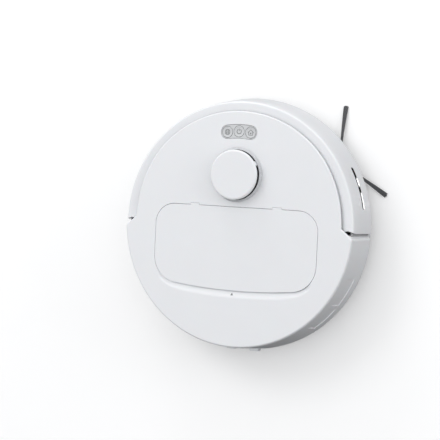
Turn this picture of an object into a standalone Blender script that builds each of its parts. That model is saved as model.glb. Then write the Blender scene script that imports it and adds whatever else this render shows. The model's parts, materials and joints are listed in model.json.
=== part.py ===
"""A round robot vacuum with a laser turret, as an assembly of separate parts.

Units are metres. The origin is on the body's centre line at the flat underside,
+Z points up and the robot drives towards -Y, so its right-hand side is -X.
"""
import math

import bmesh
import bpy
from mathutils import Matrix, Vector

# ---- driving dimensions -------------------------------------------------------------------
TOP_Z = 0.073               # top face above the underside
GROUND_Z = -0.0095          # floor under the wheels
RIM_R = 0.165               # edge of the top face
BODY_R = 0.1725             # widest point of the side wall
WIDEST_Z = 0.016            # height of the widest point
WALL = 0.0025
SKIRT_Z = 0.0133            # lower edge of the upper shell's side wall
FLANGE_Z = 0.013            # top of the base plate's rim
FLANGE_R = 0.171
FLAT_R = 0.161              # flat part of the underside
GAP = 0.0003                # clearance between fitted parts

COVER_R = 0.152             # raised front edge of the top cover
LIP_Z = 0.0692              # underside of that edge
BAND_Z = 0.0684             # top of the bumper
BAND_INNER_R = 0.1485
BUMPER_FOOT_Z = 0.0138
SHOULDER_Y = 0.008          # front end of the rear side walls
INNER_WALL_R = 0.144        # chassis wall behind the bumper

LID_HALF_W = 0.118
LID_FRONT_Y = -0.0235
LID_REAR_Y = 0.0887
LID_FRONT_R = 0.0275        # front corner radius
LID_REAR_R = 0.036          # rear corner radius
LID_BULGE_R = 0.745         # radius of the bowed rear edge
LID_THICK = 0.0024
LID_SEAM = 0.0007
DECK_Z = 0.066              # tray floor under the lid
GROOVE_W = 0.010
GROOVE_DEPTH = 0.0030
HINGE_R = 0.00115           # hinge tab, flush with the top face
HINGE_Y = LID_FRONT_Y - 0.0013
HINGE_Z = TOP_Z - HINGE_R
HINGE_X = (0.0534, 0.0661)  # inner and outer end of each hinge tab
HINGE_PIN_R = 0.0005

TURRET = Vector((0.0, -0.0668, 0.0))
TURRET_TOP_Z = TOP_Z + 0.0133
CAP_R = 0.0335
CAP_EDGE_Z = TOP_Z + 0.0090
TURRET_RIM_Z = TOP_Z + 0.0050
TURRET_FLARE_R = 0.0365
PILLAR_ANGLES = (90.0, 210.0, 330.0)
PULLEY_Z = (0.0505, 0.0540)
ROTOR_PULLEY_R = 0.020
MOTOR_PULLEY_R = 0.0045
LIDAR_MOTOR_AT = TURRET + Vector((0.0346, 0.0200, 0.0))

BUTTON_ARC_R = 0.1247       # the button strip follows the body's edge
BUTTON_PITCH_DEG = 7.75
BUTTON_R = 0.0075
STRIP_HALF_W = 0.0092

WHEEL_X = 0.118
WHEEL_Y = 0.006
TYRE_R = 0.035
TYRE_W = 0.022
WHEEL_Z = GROUND_Z + TYRE_R
ARM_PIVOT = Vector((0.0, -0.028, 0.028))
ARM_X = (0.090, 0.102)

BRUSH_Y = -0.043
BRUSH_Z = 0.0118
BRUSH_R = 0.0181
BRUSH_HALF_L = 0.080
BRUSH_FINS = 5
CHAMBER_X = 0.084
CHAMBER_Y = (-0.064, -0.022)
CHAMBER_Z = 0.033
GUARD_HALF_X = 0.0865          # removable frame, flush with the underside
GUARD_Y = (-0.0680, -0.0160)

SIDE_BRUSH = Vector((-0.118, -0.089, 0.0))
SIDE_BRUSH_REACH = 0.078
SIDE_BRUSH_ANGLES = (29.35, 149.35, 269.35)

CASTER = Vector((0.0, -0.132, 0.0))
CASTER_TRAIL = 0.003
CASTER_R = 0.0125
CASTER_Z = GROUND_Z + CASTER_R

BATTERY_LOW = (-0.020, -0.109, 0.0032)
BATTERY_HIGH = (0.048, -0.071, 0.0410)
BIN_LOW = (-0.062, -0.013, 0.0040)
BIN_HIGH = (0.062, 0.082, 0.0620)
FAN = Vector((-0.096, 0.076, 0.0))
ROCKER_TILT_DEG = 7.0       # the power rocker lies on one of its two stops

SLOT_Z = (0.0335, 0.0385)   # side sensor window
SLOT_DEG = (190.0, 209.5)
VENT_Z = (0.032, 0.052)
VENT_DEG = ((21.7, 36.1), (38.2, 51.6))

PARTS = None
CUTTERS = None


# ---- scene, materials and shape helpers ---------------------------------------------------
def clear_scene():
    global PARTS, CUTTERS
    for obj in list(bpy.data.objects):
        bpy.data.objects.remove(obj, do_unlink=True)
    PARTS = bpy.data.collections.new("robot_vacuum")
    CUTTERS = bpy.data.collections.new("cutters")
    for group in (PARTS, CUTTERS):
        bpy.context.scene.collection.children.link(group)


def material(name, colour, roughness, metallic=0.0):
    mat = bpy.data.materials.new(name)
    mat.use_nodes = True
    shader = mat.node_tree.nodes["Principled BSDF"]
    shader.inputs["Base Color"].default_value = (*colour, 1.0)
    shader.inputs["Roughness"].default_value = roughness
    shader.inputs["Metallic"].default_value = metallic
    return mat


def finish(name, mesh, mat, smooth=True):
    obj = bpy.data.objects.new(name, mesh)
    PARTS.objects.link(obj)
    if mat is not None:
        mesh.materials.clear()
        mesh.materials.append(mat)
    if smooth:
        mesh.shade_smooth()
        mesh.set_sharp_from_angle(angle=math.radians(32))
    return obj


def from_bmesh(name, bm, mat):
    mesh = bpy.data.meshes.new(name)
    bm.to_mesh(mesh)
    bm.free()
    return finish(name, mesh, mat)


def box(name, low, high, mat, bevel=0.0):
    """A box between two corners, with rounded edges where a bevel is given."""
    low, high = Vector(low), Vector(high)
    bm = bmesh.new()
    bmesh.ops.create_cube(bm, size=1.0)
    bmesh.ops.scale(bm, vec=high - low, verts=bm.verts)
    obj = from_bmesh(name, bm, mat)
    obj.location = (low + high) / 2
    if bevel:
        round_edges(obj, bevel)
    return obj


def rod(name, start, end, radius, mat, sides=16, end_radius=None):
    """A cylinder or cone between two points."""
    start, end = Vector(start), Vector(end)
    turn = (end - start).to_track_quat("Z", "Y").to_matrix().to_4x4()
    bm = bmesh.new()
    bmesh.ops.create_cone(
        bm, cap_ends=True, segments=sides, radius1=radius,
        radius2=radius if end_radius is None else end_radius,
        depth=(end - start).length, matrix=turn)
    obj = from_bmesh(name, bm, mat)
    obj.location = (start + end) / 2
    return obj


def turned(name, profile, mat, at=(0.0, 0.0, 0.0), sides=32, ring=False):
    """Turn (radius, height) points about Z. They run from top to bottom outside."""
    bm = bmesh.new()
    verts = [bm.verts.new((radius, 0.0, height)) for radius, height in profile]
    for first, second in zip(verts, verts[1:]):
        bm.edges.new((first, second))
    if ring:
        bm.edges.new((verts[-1], verts[0]))
    obj = from_bmesh(name, bm, mat)
    obj.location = at
    screw = obj.modifiers.new("Turn", "SCREW")
    screw.steps = sides
    screw.render_steps = sides
    screw.use_merge_vertices = True
    screw.merge_threshold = 0.00001
    return obj


def swept(name, profile, start_deg, end_deg, steps, mat, centre=(0.0, 0.0, 0.0)):
    """Carry a closed (radius, height) outline round Z between two angles."""
    start = math.radians(start_deg)
    bm = bmesh.new()
    verts = [bm.verts.new((r * math.cos(start), r * math.sin(start), z)) for r, z in profile]
    face = bm.faces.new(verts)
    bmesh.ops.spin(bm, geom=[face], cent=(0, 0, 0), axis=(0, 0, 1),
                   angle=math.radians(end_deg - start_deg), steps=steps)
    bmesh.ops.recalc_face_normals(bm, faces=bm.faces)
    obj = from_bmesh(name, bm, mat)
    obj.location = centre
    return obj


def plate(name, outline, low_z, high_z, mat):
    """A flat outline of (x, y) points, extruded between two heights."""
    curve = bpy.data.curves.new(name, "CURVE")
    curve.dimensions = "2D"
    curve.fill_mode = "BOTH"
    curve.extrude = (high_z - low_z) / 2
    spline = curve.splines.new("POLY")
    spline.points.add(len(outline) - 1)
    for point, (x, y) in zip(spline.points, outline):
        point.co = (x, y, 0.0, 1.0)
    spline.use_cyclic_u = True
    guide = bpy.data.objects.new(name + "_outline", curve)
    CUTTERS.objects.link(guide)
    mesh = evaluated_mesh(guide)
    bpy.data.objects.remove(guide, do_unlink=True)
    obj = finish(name, mesh, mat)
    obj.location = (0.0, 0.0, (low_z + high_z) / 2)
    return obj


def evaluated_mesh(obj):
    """The object's evaluated mesh with its loose caps welded on."""
    bpy.context.view_layer.update()
    depsgraph = bpy.context.evaluated_depsgraph_get()
    mesh = bpy.data.meshes.new_from_object(obj.evaluated_get(depsgraph))
    bm = bmesh.new()
    bm.from_mesh(mesh)
    bmesh.ops.remove_doubles(bm, verts=bm.verts, dist=0.000005)
    bmesh.ops.recalc_face_normals(bm, faces=bm.faces)
    bm.to_mesh(mesh)
    bm.free()
    return mesh


def round_edges(obj, width, segments=1):
    bevel = obj.modifiers.new("Rounded edges", "BEVEL")
    bevel.width = width
    bevel.segments = segments
    bevel.limit_method = "ANGLE"


def combine(target, other, operation):
    """Keep a Boolean on the target, and put the other shape away as a guide."""
    boolean = target.modifiers.new(other.name, "BOOLEAN")
    boolean.operation = operation
    boolean.object = other
    PARTS.objects.unlink(other)
    CUTTERS.objects.link(other)
    other.hide_render = True
    other.display_type = "WIRE"


def cut(target, *cutters):
    for cutter in cutters:
        combine(target, cutter, "DIFFERENCE")


def join(target, *pieces):
    for piece in pieces:
        combine(target, piece, "UNION")


def set_origin(obj, point):
    """Move an unrotated object's origin onto its joint without moving its shape."""
    shift = Vector(point) - obj.location
    obj.data.transform(Matrix.Translation(-shift))
    obj.location = point


def arc(centre, radius, start_deg, end_deg, steps):
    """Points along an arc, both ends included."""
    angles = [math.radians(start_deg + (end_deg - start_deg) * i / steps) for i in range(steps + 1)]
    return [(centre[0] + radius * math.cos(a), centre[1] + radius * math.sin(a)) for a in angles]


def polar(radius, degrees):
    angle = math.radians(degrees)
    return Vector((radius * math.cos(angle), radius * math.sin(angle), 0.0))


def wall_radius(z):
    """Outer radius of the flared side wall at a height."""
    return RIM_R + (BODY_R - RIM_R) * (TOP_Z - z) / (TOP_Z - WIDEST_Z)


# ---- materials ----------------------------------------------------------------------------
def make_materials():
    return {
        "shell": material("shell_white", (0.80, 0.81, 0.83), 0.38),
        "base": material("base_white", (0.74, 0.75, 0.76), 0.45),
        "strip": material("strip_grey", (0.60, 0.61, 0.62), 0.45),
        "dark": material("dark_plastic", (0.045, 0.046, 0.050), 0.40),
        "lens": material("sensor_black", (0.010, 0.010, 0.012), 0.08),
        "grey": material("inner_grey", (0.30, 0.31, 0.33), 0.50),
        "rubber": material("tyre_rubber", (0.035, 0.035, 0.037), 0.80),
        "bristle": material("bristle_grey", (0.075, 0.077, 0.082), 0.70),
        "steel": material("steel", (0.62, 0.62, 0.64), 0.28, 1.0),
        "brass": material("contact_metal", (0.72, 0.66, 0.48), 0.30, 1.0),
        "board": material("circuit_green", (0.03, 0.16, 0.08), 0.45),
        "bin": material("bin_smoke", (0.16, 0.17, 0.19), 0.15),
        "filter": material("filter_white", (0.78, 0.78, 0.74), 0.90),
        "cell": material("battery_blue", (0.06, 0.12, 0.30), 0.40),
    }


# ---- lower housing ------------------------------------------------------------------------
def base_plate(mat):
    dish = [
        (0.0, WALL), (FLAT_R - 0.001, WALL), (FLANGE_R - WALL, FLANGE_Z), (FLANGE_R, FLANGE_Z),
        (FLAT_R + 0.0018, 0.0007), (FLAT_R, 0.0), (0.0, 0.0)]
    base = turned("base_plate", dish, mat["base"], sides=72)
    inner = [(INNER_WALL_R - WALL, 0.0010), (INNER_WALL_R, 0.0010),
             (INNER_WALL_R, TOP_Z - WALL - GAP), (INNER_WALL_R - WALL, TOP_Z - WALL - GAP)]
    join(base, swept("bumper_backing_wall", inner, 178.0, 362.0, 30, None))
    cut(base, box("caster_bay", (-0.022, -0.160, WALL + 0.0001), (0.022, -0.110, 0.0320), None))
    cut(base, box("side_brush_bay", (-0.1318, -0.0998, 0.0075), (-0.100, -0.074, 0.0430), None))
    for side, start in (("left", -3.2), ("right", 175.2)):
        step = [(wall_radius(0.010) - 0.0060, 0.0085), (wall_radius(0.010) - 0.0046, 0.0085),
                (wall_radius(0.064) - 0.0044, 0.0640), (wall_radius(0.064) - 0.0060, 0.0640)]
        join(base, swept("shoulder_backing_" + side, step, start, start + 8.0, 4, None))
    for side, sign in (("left", 1), ("right", -1)):
        near, far = sorted((sign * (ARM_X[0] - 0.0015), sign * (WHEEL_X + 0.0145)))
        cut(base, box("wheel_opening_" + side, (near, WHEEL_Y - 0.037, -0.01),
                      (far, WHEEL_Y + 0.037, 0.006), None))
    cut(base, box("brush_opening", (-GUARD_HALF_X - GAP, GUARD_Y[0] - GAP, -0.01),
                  (GUARD_HALF_X + GAP, GUARD_Y[1] + GAP, 0.006), None))
    cut(base, rod("caster_opening", CASTER + Vector((0, 0, -0.01)),
                  CASTER + Vector((0, 0, 0.006)), 0.018, None, 28))
    cut(base, rod("side_brush_opening", SIDE_BRUSH + Vector((0, 0, -0.01)),
                  SIDE_BRUSH + Vector((0, 0, 0.0088)), 0.005, None, 16))
    cut(base, box("battery_opening", (BATTERY_LOW[0] - 0.0040, BATTERY_LOW[1] - 0.0015, -0.01),
                  (BATTERY_HIGH[0] + 0.0040, BATTERY_HIGH[1] + 0.0015, 0.006), None))
    for index, place in enumerate(cliff_places()):
        low, high = cliff_box(place, 0.0003)
        cut(base, box("cliff_opening_%d" % index, (*low, -0.01), (*high, 0.006), None))
    return base


def cliff_places():
    """Centres of the four drop sensors, right to left round the front edge."""
    return [polar(0.150, angle) for angle in (196.0, 252.0, 288.0, 344.0)]


def cliff_box(place, margin):
    half_x, half_y = 0.0095 + margin, 0.0050 + margin
    return (place.x - half_x, place.y - half_y), (place.x + half_x, place.y + half_y)


def cliff_sensors(mat):
    names = ("cliff_sensor_right", "cliff_sensor_front_right", "cliff_sensor_front_left", "cliff_sensor_left")
    for name, place in zip(names, cliff_places()):
        low, high = cliff_box(place, 0.0)
        box(name, (*low, 0.0004), (*high, 0.0054), mat["lens"], bevel=0.0006)


def battery(mat):
    box("battery_pack", BATTERY_LOW, BATTERY_HIGH, mat["cell"], bevel=0.0020)
    door = box("battery_door", (BATTERY_LOW[0] - 0.0037, BATTERY_LOW[1] - 0.0012, 0.0),
               (BATTERY_HIGH[0] + 0.0037, BATTERY_HIGH[1] + 0.0012, 0.0022), mat["base"])
    for index in range(4):
        x = BATTERY_LOW[0] + 0.012 + 0.014 * index
        cut(door, box("door_grip_%d" % index, (x, BATTERY_LOW[1] + 0.004, -0.001),
                      (x + 0.004, BATTERY_LOW[1] + 0.014, 0.0008), None))


# ---- upper shell --------------------------------------------------------------------------
def lid_outline(grow):
    """Outline of the lid: straight front and sides, round corners, bowed rear edge."""
    bulge_y = LID_REAR_Y - LID_BULGE_R
    front_x = LID_HALF_W - LID_FRONT_R
    front_y = LID_FRONT_Y + LID_FRONT_R
    rear_x = LID_HALF_W - LID_REAR_R
    rear_y = bulge_y + math.sqrt((LID_BULGE_R - LID_REAR_R) ** 2 - rear_x ** 2)
    turn = math.degrees(math.atan2(rear_y - bulge_y, rear_x))
    points = arc((front_x, front_y), LID_FRONT_R + grow, -90, 0, 6)
    points += arc((rear_x, rear_y), LID_REAR_R + grow, 0, turn, 6)
    points += arc((0.0, bulge_y), LID_BULGE_R + grow, turn, 180 - turn, 8)[1:-1]
    points += arc((-rear_x, rear_y), LID_REAR_R + grow, 180 - turn, 180, 6)
    points += arc((-front_x, front_y), LID_FRONT_R + grow, 180, 270, 6)
    return points


def groove_outline(grow):
    """Finger groove behind the lid: widest at the middle, gone at the corners."""
    outer = []
    for x, y in lid_outline(0.0):
        if y > 0.070:
            width = GROOVE_W * (1.0 - (abs(x) / LID_HALF_W) ** 4) + grow
            outer.append((x * (1 + 0.3 * width), y + width))
    return outer + [(-0.104, 0.066), (0.104, 0.066)]


def strip_outline(grow):
    """The button strip: a bent slot that follows the body's edge."""
    middle = 270.0
    half = BUTTON_PITCH_DEG
    radius = STRIP_HALF_W + grow
    right_end = polar(BUTTON_ARC_R, middle - half)
    left_end = polar(BUTTON_ARC_R, middle + half)
    points = arc((0, 0), BUTTON_ARC_R + radius, middle - half, middle + half, 4)
    points += arc(left_end.xy, radius, middle + half, middle + half + 180, 8)[1:-1]
    points += arc((0, 0), BUTTON_ARC_R - radius, middle + half, middle - half, 4)
    points += arc(right_end.xy, radius, middle - half + 180, middle - half + 360, 8)[1:-1]
    return points


def top_cover(mat):
    shell = [
        (0.0, TOP_Z), (RIM_R - 0.0010, TOP_Z), (RIM_R, TOP_Z - 0.0010), (BODY_R, WIDEST_Z),
        (BODY_R - 0.0010, SKIRT_Z), (BODY_R - WALL - 0.0010, SKIRT_Z),
        (RIM_R - WALL, TOP_Z - WALL), (COVER_R - 0.0006, TOP_Z - WALL), (COVER_R - 0.0006, LIP_Z),
        (COVER_R - 0.0028, LIP_Z), (COVER_R - 0.0028, TOP_Z - WALL), (0.0, TOP_Z - WALL)]
    cover = turned("top_cover", shell, mat["shell"], sides=72)
    beyond = 0.20
    edge = arc((0.0, 0.0), COVER_R, 179.2, 360.8, 46)
    room = [(-beyond, SHOULDER_Y), (-COVER_R - 0.005, SHOULDER_Y)] + edge
    room += [(COVER_R + 0.005, SHOULDER_Y), (beyond, SHOULDER_Y), (beyond, -beyond), (-beyond, -beyond)]
    cut(cover, plate("bumper_room", room, -0.02, 0.10, None))
    join(cover, plate("lid_tray", lid_outline(0.0036), DECK_Z - 0.0020, TOP_Z - 0.0005, None))
    join(cover, plate("groove_floor", groove_outline(0.0020), TOP_Z - GROOVE_DEPTH - 0.0020,
                      TOP_Z - 0.0010, None))
    cut(cover, plate("lid_room", lid_outline(LID_SEAM), DECK_Z, TOP_Z + 0.01, None))
    cut(cover, plate("groove", groove_outline(0.0), TOP_Z - GROOVE_DEPTH, TOP_Z + 0.012, None))
    cut(cover, box("bin_opening", (BIN_LOW[0] - 0.001, BIN_LOW[1] - 0.001, 0.05),
                   (BIN_HIGH[0] + 0.001, BIN_HIGH[1] + 0.001, 0.072), None))
    cut(cover, box("switch_opening", (-0.0968, 0.0148, 0.05), (-0.0832, 0.0332, 0.072), None))
    cut(cover, rod("turret_opening", TURRET + Vector((0, 0, 0.05)), TURRET + Vector((0, 0, 0.09)),
                   0.0325, None, 36))
    cut(cover, plate("strip_opening", strip_outline(GAP), 0.066, TOP_Z + 0.01, None))
    for side, sign in (("left", 1), ("right", -1)):
        near, far = sorted((sign * (HINGE_X[0] - 0.0004), sign * (HINGE_X[1] + 0.0004)))
        cut(cover, box("hinge_room_" + side, (near, HINGE_Y - HINGE_R - 0.0005, HINGE_Z - HINGE_R - 0.0005),
                       (far, LID_FRONT_Y + 0.0010, TOP_Z + 0.0050), None))
        cut(cover, rod("hinge_bore_" + side, (near - 0.0015, HINGE_Y, HINGE_Z),
                       (far + 0.0015, HINGE_Y, HINGE_Z), HINGE_PIN_R + 0.00015, None, 10))
        for index, (start, end) in enumerate(VENT_DEG):
            if sign < 0:
                start, end = 180.0 - end, 180.0 - start
            low, high = VENT_Z
            recess = [(wall_radius(low) - 0.0012, low), (wall_radius(low) + 0.01, low),
                      (wall_radius(high) + 0.01, high), (wall_radius(high) - 0.0012, high)]
            cut(cover, swept("vent_%s_%d" % (side, index), recess, start, end, 5, None))
    for x in (-0.017, 0.017):
        cut(cover, box("contact_opening_%d" % (x > 0), (x - 0.0068, 0.160, 0.0147),
                       (x + 0.0068, 0.180, 0.0283), None))
    cut(cover, box("dock_window_opening", (-0.0078, 0.160, 0.0367), (0.0078, 0.180, 0.0453), None))
    return cover


def lid(mat):
    panel = plate("bin_lid", lid_outline(0.0), TOP_Z - LID_THICK, TOP_Z, mat["shell"])
    for side, sign in (("left", 1), ("right", -1)):
        near, far = sorted((sign * HINGE_X[0], sign * HINGE_X[1]))
        join(panel, box("lid_tab_" + side, (near, HINGE_Y, HINGE_Z - HINGE_R + 0.0001),
                        (far, LID_FRONT_Y + 0.0010, TOP_Z - 0.0001), None))
        join(panel, rod("lid_knuckle_" + side, (near, HINGE_Y, HINGE_Z), (far, HINGE_Y, HINGE_Z),
                        HINGE_R, None, 16))
        cut(panel, rod("lid_bore_" + side, (near - 0.001, HINGE_Y, HINGE_Z),
                       (far + 0.001, HINGE_Y, HINGE_Z), HINGE_PIN_R + 0.00015, None, 10))
        rod("lid_hinge_pin_" + side, (near - 0.0016, HINGE_Y, HINGE_Z),
            (far + 0.0016, HINGE_Y, HINGE_Z), HINGE_PIN_R, mat["steel"], 10)
    set_origin(panel, (0.0, HINGE_Y, HINGE_Z))


# ---- bumper -------------------------------------------------------------------------------
def bumper(mat):
    section = [
        (BAND_INNER_R, BAND_Z), (0.1608, BAND_Z), (0.1638, BAND_Z - 0.0020),
        (wall_radius(0.062), 0.0620), (BODY_R, WIDEST_Z), (BODY_R - 0.0008, BUMPER_FOOT_Z),
        (BODY_R - 0.0032, BUMPER_FOOT_Z), (0.1634, BAND_Z - 0.0050), (0.1612, BAND_Z - WALL),
        (BAND_INNER_R, BAND_Z - WALL)]
    ring = swept("bumper", section, 179.7, 360.3, 44, mat["shell"])
    low, high = SLOT_Z
    slot = [(0.155, low), (0.185, low), (0.185, high), (0.155, high)]
    cut(ring, swept("sensor_slot", slot, SLOT_DEG[0], SLOT_DEG[1], 8, None))
    window = [(wall_radius(low) - 0.0022, low + GAP), (wall_radius(low) - 0.0005, low + GAP),
              (wall_radius(high) - 0.0005, high - GAP), (wall_radius(high) - 0.0022, high - GAP)]
    swept("wall_sensor_window", window, SLOT_DEG[0] + 0.12, SLOT_DEG[1] - 0.12, 8, mat["lens"])
    for side, angle in (("right", 236.0), ("left", 304.0)):
        place = polar(0.1535, angle)
        switch = box("bumper_switch_" + side, (-0.0060, -0.0050, 0.026), (0.0060, 0.0050, 0.036),
                     mat["dark"], 0.0006)
        switch.location += place
        switch.rotation_euler = (0.0, 0.0, math.radians(angle))


# ---- buttons ------------------------------------------------------------------------------
def buttons(mat):
    panel = plate("button_panel", strip_outline(0.0), 0.0690, TOP_Z - 0.0003, mat["strip"])
    join(panel, plate("strip_flange", strip_outline(0.0018), 0.0680, 0.0701, None))
    board = plate("button_board", strip_outline(-0.0005), 0.0620, 0.0636, mat["board"])
    for name, step in (("spot", -1), ("power", 0), ("home", 1)):
        centre = polar(BUTTON_ARC_R, 270.0 - step * BUTTON_PITCH_DEG)
        cut(panel, rod("button_hole_" + name, centre + Vector((0, 0, 0.06)), centre + Vector((0, 0, 0.08)),
                       BUTTON_R + 0.0004, None, 24))
        cap = [(0.0, TOP_Z - 0.0001), (BUTTON_R - 0.0005, TOP_Z - 0.0001), (BUTTON_R, TOP_Z - 0.0006),
               (BUTTON_R, 0.0705), (0.0030, 0.0705), (0.0030, 0.0659), (0.0, 0.0659)]
        turned("button_" + name, cap, mat["strip"], at=centre, sides=24)
        join(board, rod("switch_" + name, centre + Vector((0, 0, 0.0630)), centre + Vector((0, 0, 0.0648)),
                        0.0028, None, 8))


# ---- laser turret -------------------------------------------------------------------------
def turret(mat):
    cup = [
        (0.0305, TURRET_RIM_Z), (0.0331, TURRET_RIM_Z), (TURRET_FLARE_R - 0.0008, TOP_Z + 0.0010),
        (TURRET_FLARE_R, TOP_Z + GAP), (0.0320, TOP_Z + GAP), (0.0320, 0.0560),
        (0.0050, 0.0560), (0.0050, 0.0580), (0.0305, 0.0580)]
    base = turned("lidar_base", cup, mat["shell"], at=TURRET, sides=40, ring=True)
    cap_profile = [
        (0.0, TURRET_TOP_Z), (CAP_R - 0.0022, TURRET_TOP_Z), (CAP_R - 0.0006, TURRET_TOP_Z - 0.0006),
        (CAP_R, TURRET_TOP_Z - 0.0020), (CAP_R - 0.0003, CAP_EDGE_Z), (CAP_R - 0.0028, CAP_EDGE_Z),
        (CAP_R - 0.0028, TURRET_TOP_Z - 0.0020), (0.0, TURRET_TOP_Z - 0.0020)]
    cap = turned("lidar_cap", cap_profile, mat["shell"], at=TURRET, sides=40)
    for index, angle in enumerate(PILLAR_ANGLES):
        pillar = box("cap_pillar_%d" % index, (0.0292, -0.0030, 0.0760),
                     (0.0322, 0.0030, CAP_EDGE_Z + 0.0010), None)
        socket = box("pillar_socket_%d" % index, (0.0280, -0.0034, 0.0745), (0.03255, 0.0034, 0.0900), None)
        for piece in (pillar, socket):
            offset = piece.location.copy()
            piece.location = TURRET + polar(offset.x, angle) + Vector((0, 0, offset.z))
            piece.rotation_euler = (0.0, 0.0, math.radians(angle))
        join(cap, pillar)
        cut(base, socket)

    rotor_profile = [
        (0.0, 0.0640), (0.0260, 0.0640), (0.0260, 0.0600), (0.0040, 0.0600), (0.0040, PULLEY_Z[1]),
        (ROTOR_PULLEY_R, PULLEY_Z[1]), (ROTOR_PULLEY_R, PULLEY_Z[0]), (0.0, PULLEY_Z[0])]
    rotor = turned("lidar_rotor", rotor_profile, mat["dark"], at=TURRET, sides=28)
    join(rotor, box("rotor_head", TURRET + Vector((-0.0190, -0.0110, 0.0630)),
                    TURRET + Vector((0.0190, 0.0130, 0.0825)), None))
    cut(rotor, rod("lens_seat", TURRET + Vector((0.0080, -0.0200, 0.0745)),
                   TURRET + Vector((0.0080, -0.0080, 0.0745)), 0.0062, None, 16))
    lens = rod("lidar_lens", TURRET + Vector((0.0080, -0.0125, 0.0745)),
               TURRET + Vector((0.0080, -0.0083, 0.0745)), 0.0048, mat["lens"], 16, end_radius=0.0058)
    set_origin(lens, TURRET + Vector((0, 0, 0.0745)))

    at = LIDAR_MOTOR_AT
    rod("lidar_motor", at + Vector((0, 0, 0.0365)), at + Vector((0, 0, 0.0495)), 0.0088, mat["steel"], 16)
    rod("lidar_pulley", at + Vector((0, 0, PULLEY_Z[0])), at + Vector((0, 0, PULLEY_Z[1])),
        MOTOR_PULLEY_R, mat["grey"], 12)
    lidar_belt(mat)


def lidar_belt(mat):
    """An open belt round both pulleys, clear of them by the running gap."""
    centres = (TURRET, LIDAR_MOTOR_AT)
    span = centres[1] - centres[0]
    heading = math.degrees(math.atan2(span.y, span.x))
    lean = math.degrees(math.acos((ROTOR_PULLEY_R - MOTOR_PULLEY_R) / span.length))

    def loop(grow):
        big = arc(centres[0].xy, ROTOR_PULLEY_R + grow, heading + lean, heading + 360 - lean, 20)
        small = arc(centres[1].xy, MOTOR_PULLEY_R + grow, heading - lean, heading + lean, 5)
        return big + small

    belt = plate("lidar_belt", loop(0.0014), PULLEY_Z[0] + 0.0011, PULLEY_Z[1] - 0.0011, mat["rubber"])
    cut(belt, plate("belt_inside", loop(0.0004), PULLEY_Z[0] - 0.001, PULLEY_Z[1] + 0.001, None))


# ---- bin, fan and boards ------------------------------------------------------------------
def dust_bin(mat):
    low, high = Vector(BIN_LOW), Vector(BIN_HIGH)
    shell = box("dustbin", low, high, mat["bin"])
    inset = Vector((0.002, 0.002, 0.002))
    cut(shell, box("bin_hollow", low + inset, high - inset + Vector((0, 0, 0.01)), None))
    cut(shell, box("dust_inlet", (-0.045, low.y - 0.002, 0.009), (0.045, low.y + 0.004, 0.028), None))
    cover = box("dustbin_cover", (low.x, low.y, high.z + GAP), (high.x, high.y, high.z + 0.0023), mat["grey"])
    cut(cover, box("handle_recess", (-0.024, 0.004, high.z + 0.0012), (0.024, 0.022, high.z + 0.01), None))
    box("bin_filter", (-0.052, 0.030, 0.0470), (0.052, 0.076, high.z - GAP), mat["filter"])
    rocker = box("power_switch", (-0.0962, 0.0154, 0.0610), (-0.0838, 0.0326, 0.0674), mat["dark"], 0.0008)
    set_origin(rocker, (-0.0900, 0.0240, 0.0640))
    rocker.rotation_euler = (math.radians(-ROCKER_TILT_DEG), 0.0, 0.0)


def suction_fan(mat):
    shell = [
        (0.0, 0.0210), (0.0120, 0.0210), (0.0120, 0.0100), (0.0260, 0.0100), (0.0260, 0.0500),
        (0.0280, 0.0500), (0.0280, 0.0080), (0.0, 0.0080)]
    turned("fan_housing", shell, mat["grey"], at=FAN, sides=28)
    wheel = [
        (0.0, 0.0300), (0.0070, 0.0300), (0.0090, 0.0250), (0.0225, 0.0235), (0.0225, 0.0220), (0.0, 0.0220)]
    impeller = turned("fan_impeller", wheel, mat["dark"], at=FAN, sides=20)
    for index in range(8):
        blade = box("fan_blade_%d" % index, (0.0070, -0.0007, 0.0225), (0.0220, 0.0007, 0.0360), None)
        offset = blade.location.copy()
        angle = 45.0 * index
        blade.location = FAN + polar(offset.x, angle) + Vector((0, 0, offset.z))
        blade.rotation_euler = (0.0, 0.0, math.radians(angle + 18.0))
        join(impeller, blade)


def boards(mat):
    board = box("main_board", (-0.082, -0.062, 0.0400), (-0.004, -0.022, 0.0416), mat["board"])
    chips = ((-0.070, -0.052, 0.014), (-0.046, -0.048, 0.018), (-0.022, -0.038, 0.010))
    for index, (x, y, size) in enumerate(chips):
        join(board, box("chip_%d" % index, (x - size / 2, y - size / 2, 0.0410),
                        (x + size / 2, y + size / 2, 0.0436), None))


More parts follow.
